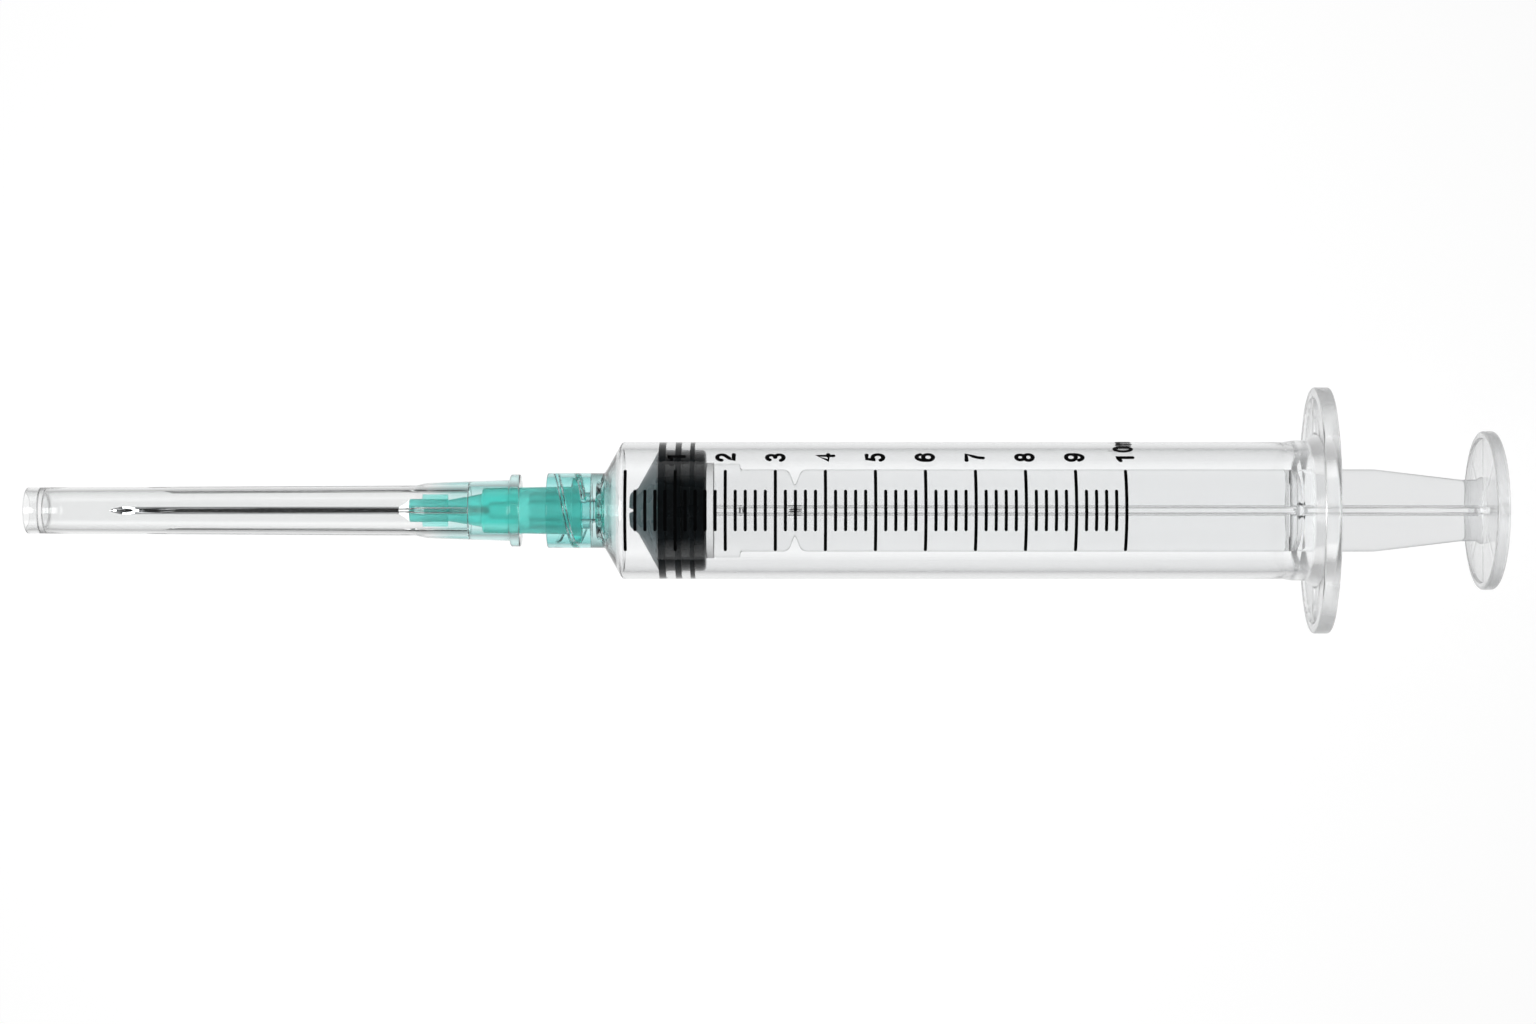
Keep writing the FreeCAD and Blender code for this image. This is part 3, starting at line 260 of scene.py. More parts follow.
def rounded_outline(corners, arc_steps=6):
    """Points along straight lines through corners (x, radius, round, steps and any further values).

    Each corner with a round is replaced by the arc that touches both its lines: with the unit vectors u and v
    towards its neighbours and the angle a between them, the arc starts round / tan(a / 2) along u and its
    centre lies round / sin(a / 2) along u + v. The line behind a corner is cut into its number of steps.
    """
    count = len(corners)
    bows = []
    for place, (x, radius, bend, steps, *more) in enumerate(corners):
        if bend == 0:
            bows.append(np.array([[x, radius, *more]], float))
            continue
        here = np.array([x, radius], float)
        before = np.array(corners[place - 1][:2], float) - here
        after = np.array(corners[(place + 1) % count][:2], float) - here
        u = before / np.linalg.norm(before)
        v = after / np.linalg.norm(after)
        half = math.acos(np.clip(u @ v, -1.0, 1.0)) / 2
        room = ROUND_ROOM * min(np.linalg.norm(before), np.linalg.norm(after))
        reach = min(bend / math.tan(half), room)
        round_radius = reach * math.tan(half)
        middle = (u + v) / np.linalg.norm(u + v)
        centre = here + middle * round_radius / math.sin(half)
        sweep = math.pi / 2 - half
        angles = np.linspace(-sweep, sweep, arc_steps)
        side = v - middle * (v @ middle)
        side = side / np.linalg.norm(side)
        bow = centre - middle * round_radius * np.cos(angles)[:, None]
        bow = bow + side * round_radius * np.sin(angles)[:, None]
        bows.append(np.hstack([bow, np.tile(more, (arc_steps, 1))]) if more else bow)
    points = []
    for place, bow in enumerate(bows):
        steps = corners[place][3]
        following = bows[(place + 1) % count][0]
        shares = np.arange(1, steps)[:, None] / steps
        points += [bow, bow[-1] + (following - bow[-1]) * shares]
    return np.concatenate(points)


def ring_grid(x, radius, turn):
    """Rings about the X axis: the point (x, radius sin(turn), radius cos(turn)) for each ring and spoke."""
    x, radius, turn = np.broadcast_arrays(x, radius, turn)
    return np.stack([x, radius * np.sin(turn), radius * np.cos(turn)], axis=-1)


def grid_faces(rings, spokes, wraps):
    """Quads between neighbouring rings, round all the spokes, and between the end rings too if it wraps."""
    ring, spoke = np.meshgrid(np.arange(rings if wraps else rings - 1), np.arange(spokes), indexing="ij")
    next_ring = (ring + 1) % rings
    next_spoke = (spoke + 1) % spokes
    corners = (ring, spoke), (ring, next_spoke), (next_ring, next_spoke), (next_ring, spoke)
    return np.stack([a * spokes + b for a, b in corners], axis=-1).reshape(-1, 4)


def pole_faces(pole, first, spokes):
    """Triangles from one point to the ring whose points start at number first."""
    spoke = np.arange(spokes)
    return np.stack([np.full(spokes, pole), first + spoke, first + (spoke + 1) % spokes], axis=-1)


def volume(points, triangles):
    """Signed volume inside triangles: a sixth of the sum of a . (b x c), above zero if they face outwards."""
    a, b, c = (points[triangles[:, k]] for k in range(3))
    return float(np.einsum("ij,ij->i", a, np.cross(b, c)).sum()) / 6


def closed_rings(grid, wraps):
    """Points, quads and triangles of a closed surface of rings, whose end rings are poles unless it wraps."""
    rings, spokes = grid.shape[:2]
    if wraps:
        return grid.reshape(-1, 3), grid_faces(rings, spokes, True), np.empty((0, 3), int)
    inner = grid[1:-1].reshape(-1, 3)
    points = np.concatenate([grid[0].mean(0)[None], inner, grid[-1].mean(0)[None]])
    quads = grid_faces(rings - 2, spokes, False) + 1
    start = pole_faces(0, 1, spokes)[:, ::-1]
    stop = pole_faces(len(points) - 1, 1 + (rings - 3) * spokes, spokes)
    return points, quads, np.concatenate([start, stop])


def add_piece(name, shape, material, body, replaced):
    """Makes a smooth mesh in metres whose faces point outwards, and hangs it on its body."""
    points, quads, triangles = shape
    halves = np.concatenate([quads[:, [0, 1, 2]], quads[:, [0, 2, 3]], triangles])
    if volume(points, halves) < 0:
        quads, triangles = quads[:, ::-1], triangles[:, ::-1]
    mesh = bpy.data.meshes.new(name)
    mesh.from_pydata((points * MM).tolist(), [], quads.tolist() + triangles.tolist())
    mesh.shade_smooth()
    mesh.set_sharp_from_angle(angle=SHARP_ANGLE)
    mesh.materials.append(material)
    piece = bpy.data.objects.new(name, mesh)
    bpy.context.scene.collection.objects.link(piece)
    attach(piece, body)
    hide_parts(replaced)
    return piece


def bar_radius(turn, half_length, half_thickness, sharpness):
    """Distance to the edge of a bar with rounded corners: (|cos / length|^p + |sin / thickness|^p)^(-1/p)."""
    along = np.abs(np.cos(turn)) / half_length
    across = np.abs(np.sin(turn)) / half_thickness
    return (along ** sharpness + across ** sharpness) ** (-1 / sharpness)


def cross_radius(turn, half_length, half_thickness, sharpness=5, fillet=9):
    """Distance to the edge of two crossed bars: (a^q + b^q)^(1/q), which fills their inner corners."""
    flat = bar_radius(turn, half_length, half_thickness, sharpness)
    upright = bar_radius(turn + math.pi / 2, half_length, half_thickness, sharpness)
    return (flat ** fillet + upright ** fillet) ** (1 / fillet)


# Barrel

def even_turns(count):
    """Angles round the axis, evenly spaced from the top, which is at 0, towards +Y."""
    return np.arange(count) * FULL_TURN / count


def flange_turns(count):
    """Angles that crowd towards the flange's two ends: t - sin(2 t) / 5, where t is 0 at an end."""
    even = even_turns(count)
    return even + FLANGE_CROWDING * np.sin(2 * even)


def flange_radius(turn):
    """Distance from the axis to the flange's oval edge of two end arcs and two flatter side arcs.

    An arc of radius r about the centre c reaches c . u + sqrt((c . u)^2 - |c|^2 + r^2) along the direction u.
    """
    across, up = np.abs(np.sin(turn)), np.abs(np.cos(turn))
    far = FLANGE_HALF_LENGTH - FLANGE_END_RADIUS
    side_radius = (far ** 2 + FLANGE_HALF_WIDTH ** 2 - FLANGE_END_RADIUS ** 2) / (
        2 * (FLANGE_HALF_WIDTH - FLANGE_END_RADIUS))
    drop = side_radius - FLANGE_HALF_WIDTH
    end = far * across + np.sqrt(np.maximum((far * across) ** 2 - far ** 2 + FLANGE_END_RADIUS ** 2, 0))
    side = -drop * up + np.sqrt((drop * up) ** 2 - drop ** 2 + side_radius ** 2)
    meeting = math.atan2(drop, far)
    meeting_slope = FLANGE_END_RADIUS * math.sin(meeting) / (far + FLANGE_END_RADIUS * math.cos(meeting))
    return np.where(up < meeting_slope * across, end, side)


def flange_relief(grid, edge):
    """How far the flange's front face stands above its recess: border, rib and an arch on each wing."""
    across, up = np.abs(grid[..., 1]), np.abs(grid[..., 2])
    inset = edge - np.hypot(across, up)
    border = smooth_step((FLANGE_BORDER - inset) / RELIEF_SLOPE + 0.5)
    rib = smooth_step((FLANGE_RIB / 2 - up) / RELIEF_SLOPE + 0.5)
    rib = rib * smooth_step((across - BAND_RADIUS) / RELIEF_SLOPE)
    along = np.clip((across - BAND_RADIUS) / (ARCH_REACH - BAND_RADIUS), 0, 1)
    arch = smooth_step((ARCH_HALF_WIDTH * np.sqrt(1 - along ** 2) - up) / RELIEF_SLOPE + 0.5)
    arch = arch * (along < 1)
    return np.maximum(np.maximum(border, rib) * FLANGE_RECESS, arch * ARCH_HEIGHT)


def ridge_height(x, turn):
    """Height of the collar's double-start right-hand thread above its bore.

    A ridge's middle line runs back by the lead in a turn, the other way round than the angles do, so it
    lies at x = front + lead * theta / (2 pi) with theta = -turn from its first turn on. The section is a
    trapezoid, and its ends rise over a twelfth of a turn.
    """
    front = COLLAR_FRONT + RIDGE_ENTRY
    turns = (COLLAR_FLOOR - RIDGE_RUNOUT - front) / RIDGE_LEAD
    height = np.zeros(np.broadcast(x, turn).shape)
    for start in range(RIDGE_STARTS):
        along = np.mod(-turn / FULL_TURN + start / RIDGE_STARTS + RIDGE_FIRST_TURN, 1.0)
        away = np.abs(x - front - RIDGE_LEAD * along)
        section = (RIDGE_FOOT_WIDTH / 2 - away) / ((RIDGE_FOOT_WIDTH - RIDGE_CREST_WIDTH) / 2)
        entry = smooth_step(along * RIDGE_RISES_PER_TURN)
        runout = smooth_step((turns - along) * RIDGE_RISES_PER_TURN)
        height = np.maximum(height, np.clip(section, 0, 1) * entry * runout)
    return height * (COLLAR_BORE - RIDGE_CREST_RADIUS)


def make_barrel(material):
    """Barrel, flange, luer cone and lock collar as one closed loop of rings."""
    rear = barrel_high[0]
    tip_front = barrel_low[0]
    flange_front = rear - FLANGE_THICKNESS
    recess = flange_front + FLANGE_RECESS
    band_front = flange_front - BAND_LENGTH
    foot = BAND_RADIUS + FLANGE_FOOT
    edge_zone = FLANGE_EDGE_ROUND + 0.05
    face_stop = FLANGE_HALF_LENGTH - edge_zone
    bead = rear - BEAD_DEPTH
    profile = rounded_outline([
        (tip_front, TIP_BORE, 0.1, 4),
        (tip_front, TIP_RADIUS, 0.15, 10),
        (COLLAR_FLOOR, TIP_ROOT_RADIUS, 0.15, 6),
        (COLLAR_FLOOR, COLLAR_BORE, 0.15, 66),
        (COLLAR_FRONT, COLLAR_BORE, 0.1, 2),
        (COLLAR_FRONT, COLLAR_RADIUS, 0.15, 10),
        (COLLAR_REAR, COLLAR_RADIUS, 0.3, 8),
        (FRONT_CORNER, BARREL_RADIUS, FRONT_CORNER_ROUND, 16),
        (band_front - BAND_TAPER, BARREL_RADIUS, 0.6, 2),
        (band_front, BAND_RADIUS, 0.5, 2),
        (flange_front - FLANGE_FOOT, BAND_RADIUS, 0.4, 3),
        (recess, foot, 0.25, 36),
        (recess, face_stop, 0, 1),
        (flange_front, face_stop, 0, 1),
        (flange_front, FLANGE_HALF_LENGTH, FLANGE_EDGE_ROUND, 3),
        (rear, FLANGE_HALF_LENGTH, FLANGE_EDGE_ROUND, 1),
        (rear, face_stop, 0, 8),
        (rear, foot, 0, 3),
        (rear, BORE_RADIUS + MOUTH_CHAMFER, 0.15, 1),
        (rear - MOUTH_CHAMFER, BORE_RADIUS, 0.25, 2),
        (bead + BEAD_HALF_WIDTH, BORE_RADIUS, 0.5, 2),
        (bead, BORE_RADIUS - BEAD_HEIGHT, 0.9, 2),
        (bead - BEAD_HALF_WIDTH, BORE_RADIUS, 0.5, 14),
        (INNER_CORNER, BORE_RADIUS, INNER_CORNER_ROUND, 6),
        (POCKET_MOUTH, POCKET_MOUTH_RADIUS, 0.6, 3),
        (POCKET_FLOOR, POCKET_FLOOR_RADIUS, 0.35, 3),
        (POCKET_FLOOR, TIP_BORE, 0.12, 8),
    ], 5)
    x, along = profile[:, :1], profile[:, 1:]
    turn = flange_turns(BARREL_SPOKES)
    edge = flange_radius(turn)
    share = np.clip((along - foot) / (face_stop - foot), 0, 1)
    on_face = foot + share * (edge - edge_zone - foot)
    on_edge = edge - (FLANGE_HALF_LENGTH - along)
    radius = np.where(along > face_stop, on_edge, np.where(along > foot, on_face, along))
    inside_collar = (along < COLLAR_BORE + TINY) & (along > TIP_ROOT_RADIUS + 1) & (x < COLLAR_FLOOR)
    radius = radius - np.where(inside_collar, ridge_height(x, turn), 0)
    grid = ring_grid(x, radius, turn)
    front_face = (along > foot + 0.02) & (along <= face_stop) & (x < recess + TINY)
    level = np.where(front_face, recess - flange_relief(grid, edge), grid[..., 0])
    grid[..., 0] = np.minimum(level, grid[..., 0])
    return add_piece("moulded_barrel", closed_rings(grid, True), material, "barrel", "barrel")


# Stopper and plunger

def head_corners(seat, clearance, bend):
    """Corners of the plunger's head in front of its seat, all larger by the clearance, from the axis back."""
    barb = seat - HEAD_NECK_LENGTH
    tip = barb - HEAD_BARB_LENGTH - clearance
    return [
        (tip, 0, 0, 3),
        (tip, HEAD_TIP_RADIUS + clearance, bend, 2),
        (barb - HEAD_BARB_LENGTH / 2, HEAD_BARB_RADIUS + clearance, bend, 2),
        (barb + clearance, HEAD_BARB_RADIUS + clearance, bend, 2),
        (barb + clearance, HEAD_NECK_RADIUS + clearance, bend, 2),
    ]


def make_stopper(material):
    """Rubber stopper: slotted nose, cone, three sealing rings that bear on the bore, and the hollow."""
    seat = stopper_high[0]
    front = seat - STOPPER_LENGTH
    cone_front = front - (LAND_RADIUS - NOSE_BASE_RADIUS) / FRONT_SLOPE
    nose_front = cone_front - NOSE_LENGTH
    corners = [
        (nose_front, 0, 0, 12),
        (nose_front, NOSE_RADIUS, 0.75, 4),
        (cone_front, NOSE_BASE_RADIUS, 0.3, 10),
    ]
    for number, (start, stop) in enumerate(SEALS):
        corners += [
            (front + start - (0.02 if number == 0 else 0), LAND_RADIUS, 0.05, 1),
            (front + start, SEAL_RADIUS, 0.03, 3),
            (front + stop, SEAL_RADIUS, 0.03, 1),
            (front + stop, LAND_RADIUS, 0.06, 4),
        ]
    corners += [
        (seat, LAND_RADIUS, 0.45, 8),
        (seat, HEAD_NECK_RADIUS + SNAP_CLEARANCE, 0.1, 2),
    ]
    corners += head_corners(seat, SNAP_CLEARANCE, 0.1)[::-1]
    profile = rounded_outline(corners)[:-2]
    x, radius = profile[:, :1], profile[:, 1:]
    turn = even_turns(STOPPER_SPOKES)
    grid = ring_grid(x, radius, turn)
    groove = 1 - np.abs(grid[..., 1]) / NOSE_SLOT_HALF_WIDTH
    near_end = smooth_step((nose_front + NOSE_LENGTH - x) / NOSE_LENGTH) * (x < cone_front)
    grid[..., 0] += NOSE_SLOT_DEPTH * smooth_step(groove) * near_end
    return add_piece("rubber_stopper", closed_rings(grid, False), material, "plunger",
                     "stopper")


def cross_turns(reach):
    """Angles whose samples keep to the corners of the crossed ribs, a row for each reach.

    The corner of an arm lies at atan(half thickness / reach) from its middle. Each half quadrant has some
    angles up to that corner and some from there to 45 degrees, closer together near the corner.
    """
    corner = np.arctan(RIB_HALF_THICKNESS / reach)
    tip = np.array([0, 0.45, 0.78, 0.93])
    side = np.linspace(0, 1, 25) ** 1.4
    half = np.hstack([corner * tip, corner + (math.pi / 4 - corner) * side])
    quadrant = np.hstack([half, math.pi / 2 - half[:, -2:0:-1]])
    return np.hstack([quadrant + arm * math.pi / 2 for arm in range(4)])


def make_plunger(material):
    """Plunger: head, discs and crossed ribs as one run of rings.

    A ring with the share w is (1 - w) of the ribs' crossed outline and w of a circle, both with the reach
    that the outline gives, so a disc's face runs from the cross out to its round edge.
    """
    seat = stopper_high[0]
    rear = plunger_high[0]
    thumb_front = rear - THUMB_THICKNESS
    face = thumb_front + THUMB_RECESS
    rim = THUMB_RADIUS - THUMB_RIM
    support = seat + SUPPORT_THICKNESS
    notch = seat + NOTCH_PLACE
    guide = thumb_front - GUIDE_PLACE
    grip = thumb_front - GRIP_LENGTH
    corners = [(*corner, 1) for corner in head_corners(seat, 0, 0.12)]
    corners += [
        (seat, HEAD_NECK_RADIUS, 0.1, 6, 1),
        (seat, SUPPORT_RADIUS, 0.2, 2, 1),
        (support, SUPPORT_RADIUS, 0.2, 1, 1),
        (support, FRONT_WING - 0.1, 0, 14, 1),
        (support, FRONT_WING - 0.1, 0, 1, 0),
        (support + 0.3, FRONT_WING, 0, 3, 0),
        (seat + FRONT_WING_LENGTH, FRONT_WING, 0.3, 2, 0),
        (seat + FRONT_WING_LENGTH, RIB_REACH, 0.3, 6, 0),
        (notch - NOTCH_HALF_WIDTH, RIB_REACH, NOTCH_SHOULDER_ROUND, 5, 0),
        (notch, RIB_REACH - NOTCH_DEPTH, 0.12, 5, 0),
        (notch + NOTCH_HALF_WIDTH, RIB_REACH, NOTCH_SHOULDER_ROUND, 24, 0),
        (guide, RIB_REACH, 0, 12, 0),
        (guide, RIB_REACH, 0, 2, 1),
        (guide + GUIDE_THICKNESS, RIB_REACH, 0, 12, 1),
        (guide + GUIDE_THICKNESS, RIB_REACH, 0, 8, 0),
        (grip - GRIP_TAPER, RIB_REACH, 5, 12, 0),
        (grip, GRIP_REACH, 5, 6, 0),
        (face - 0.75, GRIP_REACH, 0.4, 2, 0),
        (face - 0.35, GRIP_REACH + 0.32, 0.4, 2, 0),
        (face, GRIP_REACH + 0.3, 0, 14, 0),
        (face, GRIP_REACH + 0.6, 0, 26, 1),
        (face, rim - 0.1, 0, 3, 1),
        (thumb_front, rim + 0.1, 0.12, 2, 1),
        (thumb_front, THUMB_RADIUS, THUMB_EDGE_ROUND, 3, 1),
        (rear, THUMB_RADIUS, THUMB_EDGE_ROUND, 12, 1),
        (rear, 0, 0, 1, 1),
    ]
    profile = rounded_outline(corners)
    x, reach, share = profile[:, :1], profile[:, 1:2], profile[:, 2:]
    turn = cross_turns(np.clip(reach, RIB_HALF_THICKNESS, FRONT_WING))
    crossed = cross_radius(turn, np.maximum(reach, RIB_HALF_THICKNESS), RIB_HALF_THICKNESS)
    grid = ring_grid(x, np.where(share == 1, reach, (1 - share) * crossed + share * reach), turn)
    apart = FULL_TURN / SPOKES
    aside = reach * np.abs(np.sin(np.mod(turn + apart / 2, apart) - apart / 2))
    spoke = smooth_step((SPOKE_HALF_WIDTH - aside) / 0.25 + 0.5) * smooth_step((rim - reach) / 0.3)
    on_face = (np.abs(x - face) < TINY) & (share == 1)
    grid[..., 0] -= np.where(on_face, SPOKE_HEIGHT * spoke, 0)
    return add_piece("ribbed_plunger", closed_rings(grid, False), material, "plunger",
                     "plunger_rod")


# Hub, cannula and adhesive

def make_hub(material):
    """Needle hub as one closed loop of rings, with two lock lugs at its rear and four fins on its nose."""
    rear = hub_high[0]
    front = hub_low[0]
    shoulder = rear - HUB_BODY_LENGTH
    waist = shoulder - WAIST_LENGTH
    fin_front = waist - FIN_LENGTH
    lug_rear = rear - LUG_INSET
    lug_front = lug_rear - LUG_LENGTH
    profile = rounded_outline([
        (rear, SOCKET_MOUTH_RADIUS, 0.12, 3),
        (rear, HUB_RIM_RADIUS, 0.08, 1),
        (lug_rear, HUB_RIM_RADIUS, 0, 8),
        (lug_front, HUB_RIM_RADIUS, 0.05, 1),
        (lug_front - 0.02, HUB_REAR_RADIUS, 0.05, 24),
        (shoulder, HUB_SHOULDER_RADIUS, 0.3, 3),
        (shoulder, WAIST_REAR_RADIUS, 0.2, 12),
        (waist, WAIST_FRONT_RADIUS, 0, 1),
        (waist - 0.03, HUB_NOSE_RADIUS, 0, 12),
        (fin_front + 0.03, HUB_NOSE_RADIUS, 0, 1),
        (fin_front, HUB_NOSE_RADIUS, 0, 6),
        (front, HUB_NOSE_RADIUS, 0.15, 4),
        (front, CANNULA_RADIUS + 0.01, 0, 12),
        (front + CANNULA_SEAT, CANNULA_RADIUS + 0.01, 0, 2),
        (front + CANNULA_SEAT, THROAT_RADIUS, 0.05, 4),
        (rear - SOCKET_DEPTH, THROAT_RADIUS, 0.05, 2),
        (rear - SOCKET_DEPTH, SOCKET_FLOOR_RADIUS, 0.1, 16),
    ])
    x, radius = profile[:, :1], profile[:, 1:]
    turn = even_turns(HUB_SPOKES)
    outside = radius > CANNULA_RADIUS + 0.6
    at_fins = outside & (x < waist - 0.02) & (x > fin_front + 0.02) & (radius < HUB_NOSE_RADIUS + 0.1)
    fins = cross_radius(turn, FIN_REACH, FIN_HALF_THICKNESS, 14, 7)
    radius = np.where(at_fins, np.maximum(radius, fins), radius)
    from_end = np.abs(np.mod(turn, math.pi) - math.pi / 2)
    lug = smooth_step((LUG_HALF_ANGLE - from_end) / LUG_SIDE_ANGLE + 0.5)
    at_lugs = (x < lug_rear + TINY) & (x > lug_front - 0.01) & (radius > HUB_RIM_RADIUS - 0.12)
    radius = radius + np.where(at_lugs, (LUG_RADIUS - HUB_RIM_RADIUS) * lug, 0)
    shape = closed_rings(ring_grid(x, radius, turn), True)
    return add_piece("teal_hub", shape, material, "hub", "needle_hub")


def make_cannula(material):
    """Steel tube whose point is ground to a bevel and two facets turned from it.

    On a plane turned by a, a spoke at the height h above the point starts at
    point + length h / (R + R cos(a)), and each spoke starts where the last of the three planes has it.
    """
    point, rear = cannula_low[0], cannula_high[0]
    turn = even_turns(CANNULA_SPOKES)
    shares = np.concatenate([np.linspace(0, 1, 14), np.linspace(1, 2, 60)[1:]])[:, None]

    def wall(radius):
        start = point
        for length, tilt in ((BEVEL_LENGTH, 0), (FACET_LENGTH, FACET_TURN), (FACET_LENGTH, -FACET_TURN)):
            height = radius * np.cos(turn - tilt) + CANNULA_RADIUS * math.cos(tilt)
            start = np.maximum(start, point + length * height / (CANNULA_RADIUS * (1 + math.cos(tilt))))
        near = start + (point + BEVEL_LENGTH - start) * np.minimum(shares, 1)
        return ring_grid(near + (rear - point - BEVEL_LENGTH) * np.maximum(shares - 1, 0), radius, turn)

    grid = np.concatenate([wall(CANNULA_RADIUS), wall(CANNULA_BORE_RADIUS)[::-1]])
    return add_piece("steel_cannula", closed_rings(grid, True), material, "needle_tube",
                     "cannula")


def make_adhesive(material):
    """Bead of resin round the cannula: at the share s of its length its radius is a + (b - a) (1 - s)^1.2."""
    rear, front = adhesive_high[0], adhesive_low[0]
    share = np.linspace(0, 1, 20)
    radius = CANNULA_RADIUS + 0.01 + (HUB_NOSE_RADIUS - 0.03 - CANNULA_RADIUS) * (1 - share) ** ADHESIVE_CURVE
    outside = np.stack([rear + (front - rear) * share, radius], axis=-1)
    inside = np.array([[front, CANNULA_RADIUS - 0.01], [rear, CANNULA_RADIUS - 0.01]])
    profile = np.concatenate([outside, inside])
    grid = ring_grid(profile[:, :1], profile[:, 1:], even_turns(CANNULA_SPOKES))
    return add_piece("resin_bead", closed_rings(grid, True), material, "needle_tube",
                     "adhesive_bead")


def make_sheath(material):
    """Needle sheath: inside from its closed end back to the ringed mouth, and outside to the end again."""
    rear, front = sheath_high[0], sheath_low[0]
    end = front + END_RECESS
    inner_end = end + END_WALL
    step = rear - SHEATH_STEP
    skirt_front = rear - SHEATH_FLANGE_LENGTH - SKIRT_LENGTH
    tube_rear = skirt_front - SHEATH_SHOULDER_LENGTH
    rib_stop = tube_rear - TUBE_RIB_LENGTH
    bore_rear, bore_front = TUBE_REAR_RADIUS - SHEATH_WALL, TUBE_FRONT_RADIUS - SHEATH_WALL
    bore_slope = (bore_rear - bore_front) / (tube_rear - inner_end)
    profile = rounded_outline([
        (inner_end, 0, 0, 10),
        (inner_end, bore_front, 0.35, 6),
        (rib_stop, bore_rear - bore_slope * TUBE_RIB_LENGTH, 0, 30),
        (tube_rear, bore_rear, 0, 10),
        (step, bore_rear, 0.12, 2),
        (step - 0.01, SHEATH_MOUTH_RADIUS, 0.1, 8),
        (rear, SHEATH_MOUTH_RADIUS, 0.1, 2),
        (rear, SHEATH_FLANGE_RADIUS, 0.2, 2),
        (rear - SHEATH_FLANGE_LENGTH, SHEATH_FLANGE_RADIUS, 0.2, 2),
        (rear - SHEATH_FLANGE_LENGTH, SKIRT_REAR_RADIUS, 0.25, 10),
        (skirt_front, SKIRT_FRONT_RADIUS, 0.5, 2),
        (tube_rear, TUBE_REAR_RADIUS, 0.6, 30),
        (front, TUBE_FRONT_RADIUS, 0.18, 1),
        (front, bore_front, 0.15, 3),
        (end, bore_front - 0.1, 0.3, 10),
        (end, 0, 0, 1),
    ])
    x, radius = profile[:, :1], profile[:, 1:]
    turn = even_turns(SHEATH_SPOKES)
    aside = radius * np.abs(np.sin(np.mod(turn + math.pi / 4, math.pi / 2) - math.pi / 4))
    in_bore = (radius < bore_rear + TINY) & (x > inner_end + 0.4)
    low_rib = smooth_step((TUBE_RIB_HALF_THICKNESS - aside) / RIB_SIDE_WIDTH + 0.5) * TUBE_RIB_HEIGHT
    low_rib = low_rib * smooth_step((x - rib_stop) / 0.4) * (x < tube_rear + 0.01)
    grip_rib = smooth_step((GRIP_RIB_HALF_THICKNESS - aside) / RIB_SIDE_WIDTH + 0.5)
    grip_rib = grip_rib * (bore_rear - GRIP_RIB_RADIUS) * (x > tube_rear - 0.01) * (x < step - 0.005)
    radius = radius - np.where(in_bore, np.maximum(low_rib, grip_rib), 0)
    shape = closed_rings(ring_grid(x, radius, turn), False)
    return add_piece("clear_sheath", shape, material, "sheath", "needle_sheath")


# Printed scale

def arc(across, up, half_width, half_height, start, stop, steps=16):
    """Points on an ellipse from start to stop, in turns anticlockwise from its right-hand side."""
    angle = np.linspace(start, stop, steps) * FULL_TURN
    return np.stack([across + half_width * np.cos(angle), up + half_height * np.sin(angle)], axis=-1)


def run(*parts):
    """One stroke through points and arcs, one after the other."""
    return np.concatenate([np.atleast_2d(np.array(part, float)) for part in parts])


def numeral_strokes():
    """Centre lines of the numerals and of the unit, in a box one wide and one high."""
    six = [arc(0.5, 0.3, 0.5, 0.3, 0, 1, 25), run(arc(0.53, 0.5, 0.53, 0.5, 0.09, 0.5), [(0, 0.3)])]
    return {
        "0": [arc(0.5, 0.5, 0.5, 0.5, 0, 1, 31)],
        "1": [run([(0.14, 0.74), (0.42, 0.84), (0.62, 1.0), (0.62, 0.0)])],
        "2": [run(arc(0.49, 0.72, 0.45, 0.28, 0.49, -0.1), [(0.3, 0.24), (0.02, 0.0), (1.0, 0.0)])],
        "3": [run(arc(0.46, 0.75, 0.40, 0.25, 0.44, -0.25, 14)),
              run(arc(0.46, 0.255, 0.49, 0.255, 0.25, -0.44, 18))],
        "4": [run([(0.74, 0.0), (0.74, 1.0), (0.0, 0.31), (1.0, 0.31)])],
        "5": [run([(0.9, 1.0), (0.22, 1.0), (0.08, 0.47)], arc(0.47, 0.32, 0.5, 0.32, 0.34, -0.42, 20))],
        "6": six,
        "7": [run([(0.0, 1.0), (1.0, 1.0), (0.66, 0.6), (0.45, 0.3), (0.38, 0.0)])],
        "8": [arc(0.5, 0.755, 0.42, 0.245, 0, 1, 25), arc(0.5, 0.26, 0.5, 0.26, 0, 1, 25)],
        "9": [1 - stroke for stroke in six],
        "m": [run([(0.0, 0.0), (0.0, 0.72)]),
              run(arc(0.4, 0.42, 0.4, 0.3, 0.5, 0.0, 9), [(0.8, 0.0)]),
              run(arc(1.2, 0.42, 0.4, 0.3, 0.5, 0.0, 9), [(1.6, 0.0)])],
        "l": [run([(0.0, 0.0), (0.0, 1.0)])],
    }


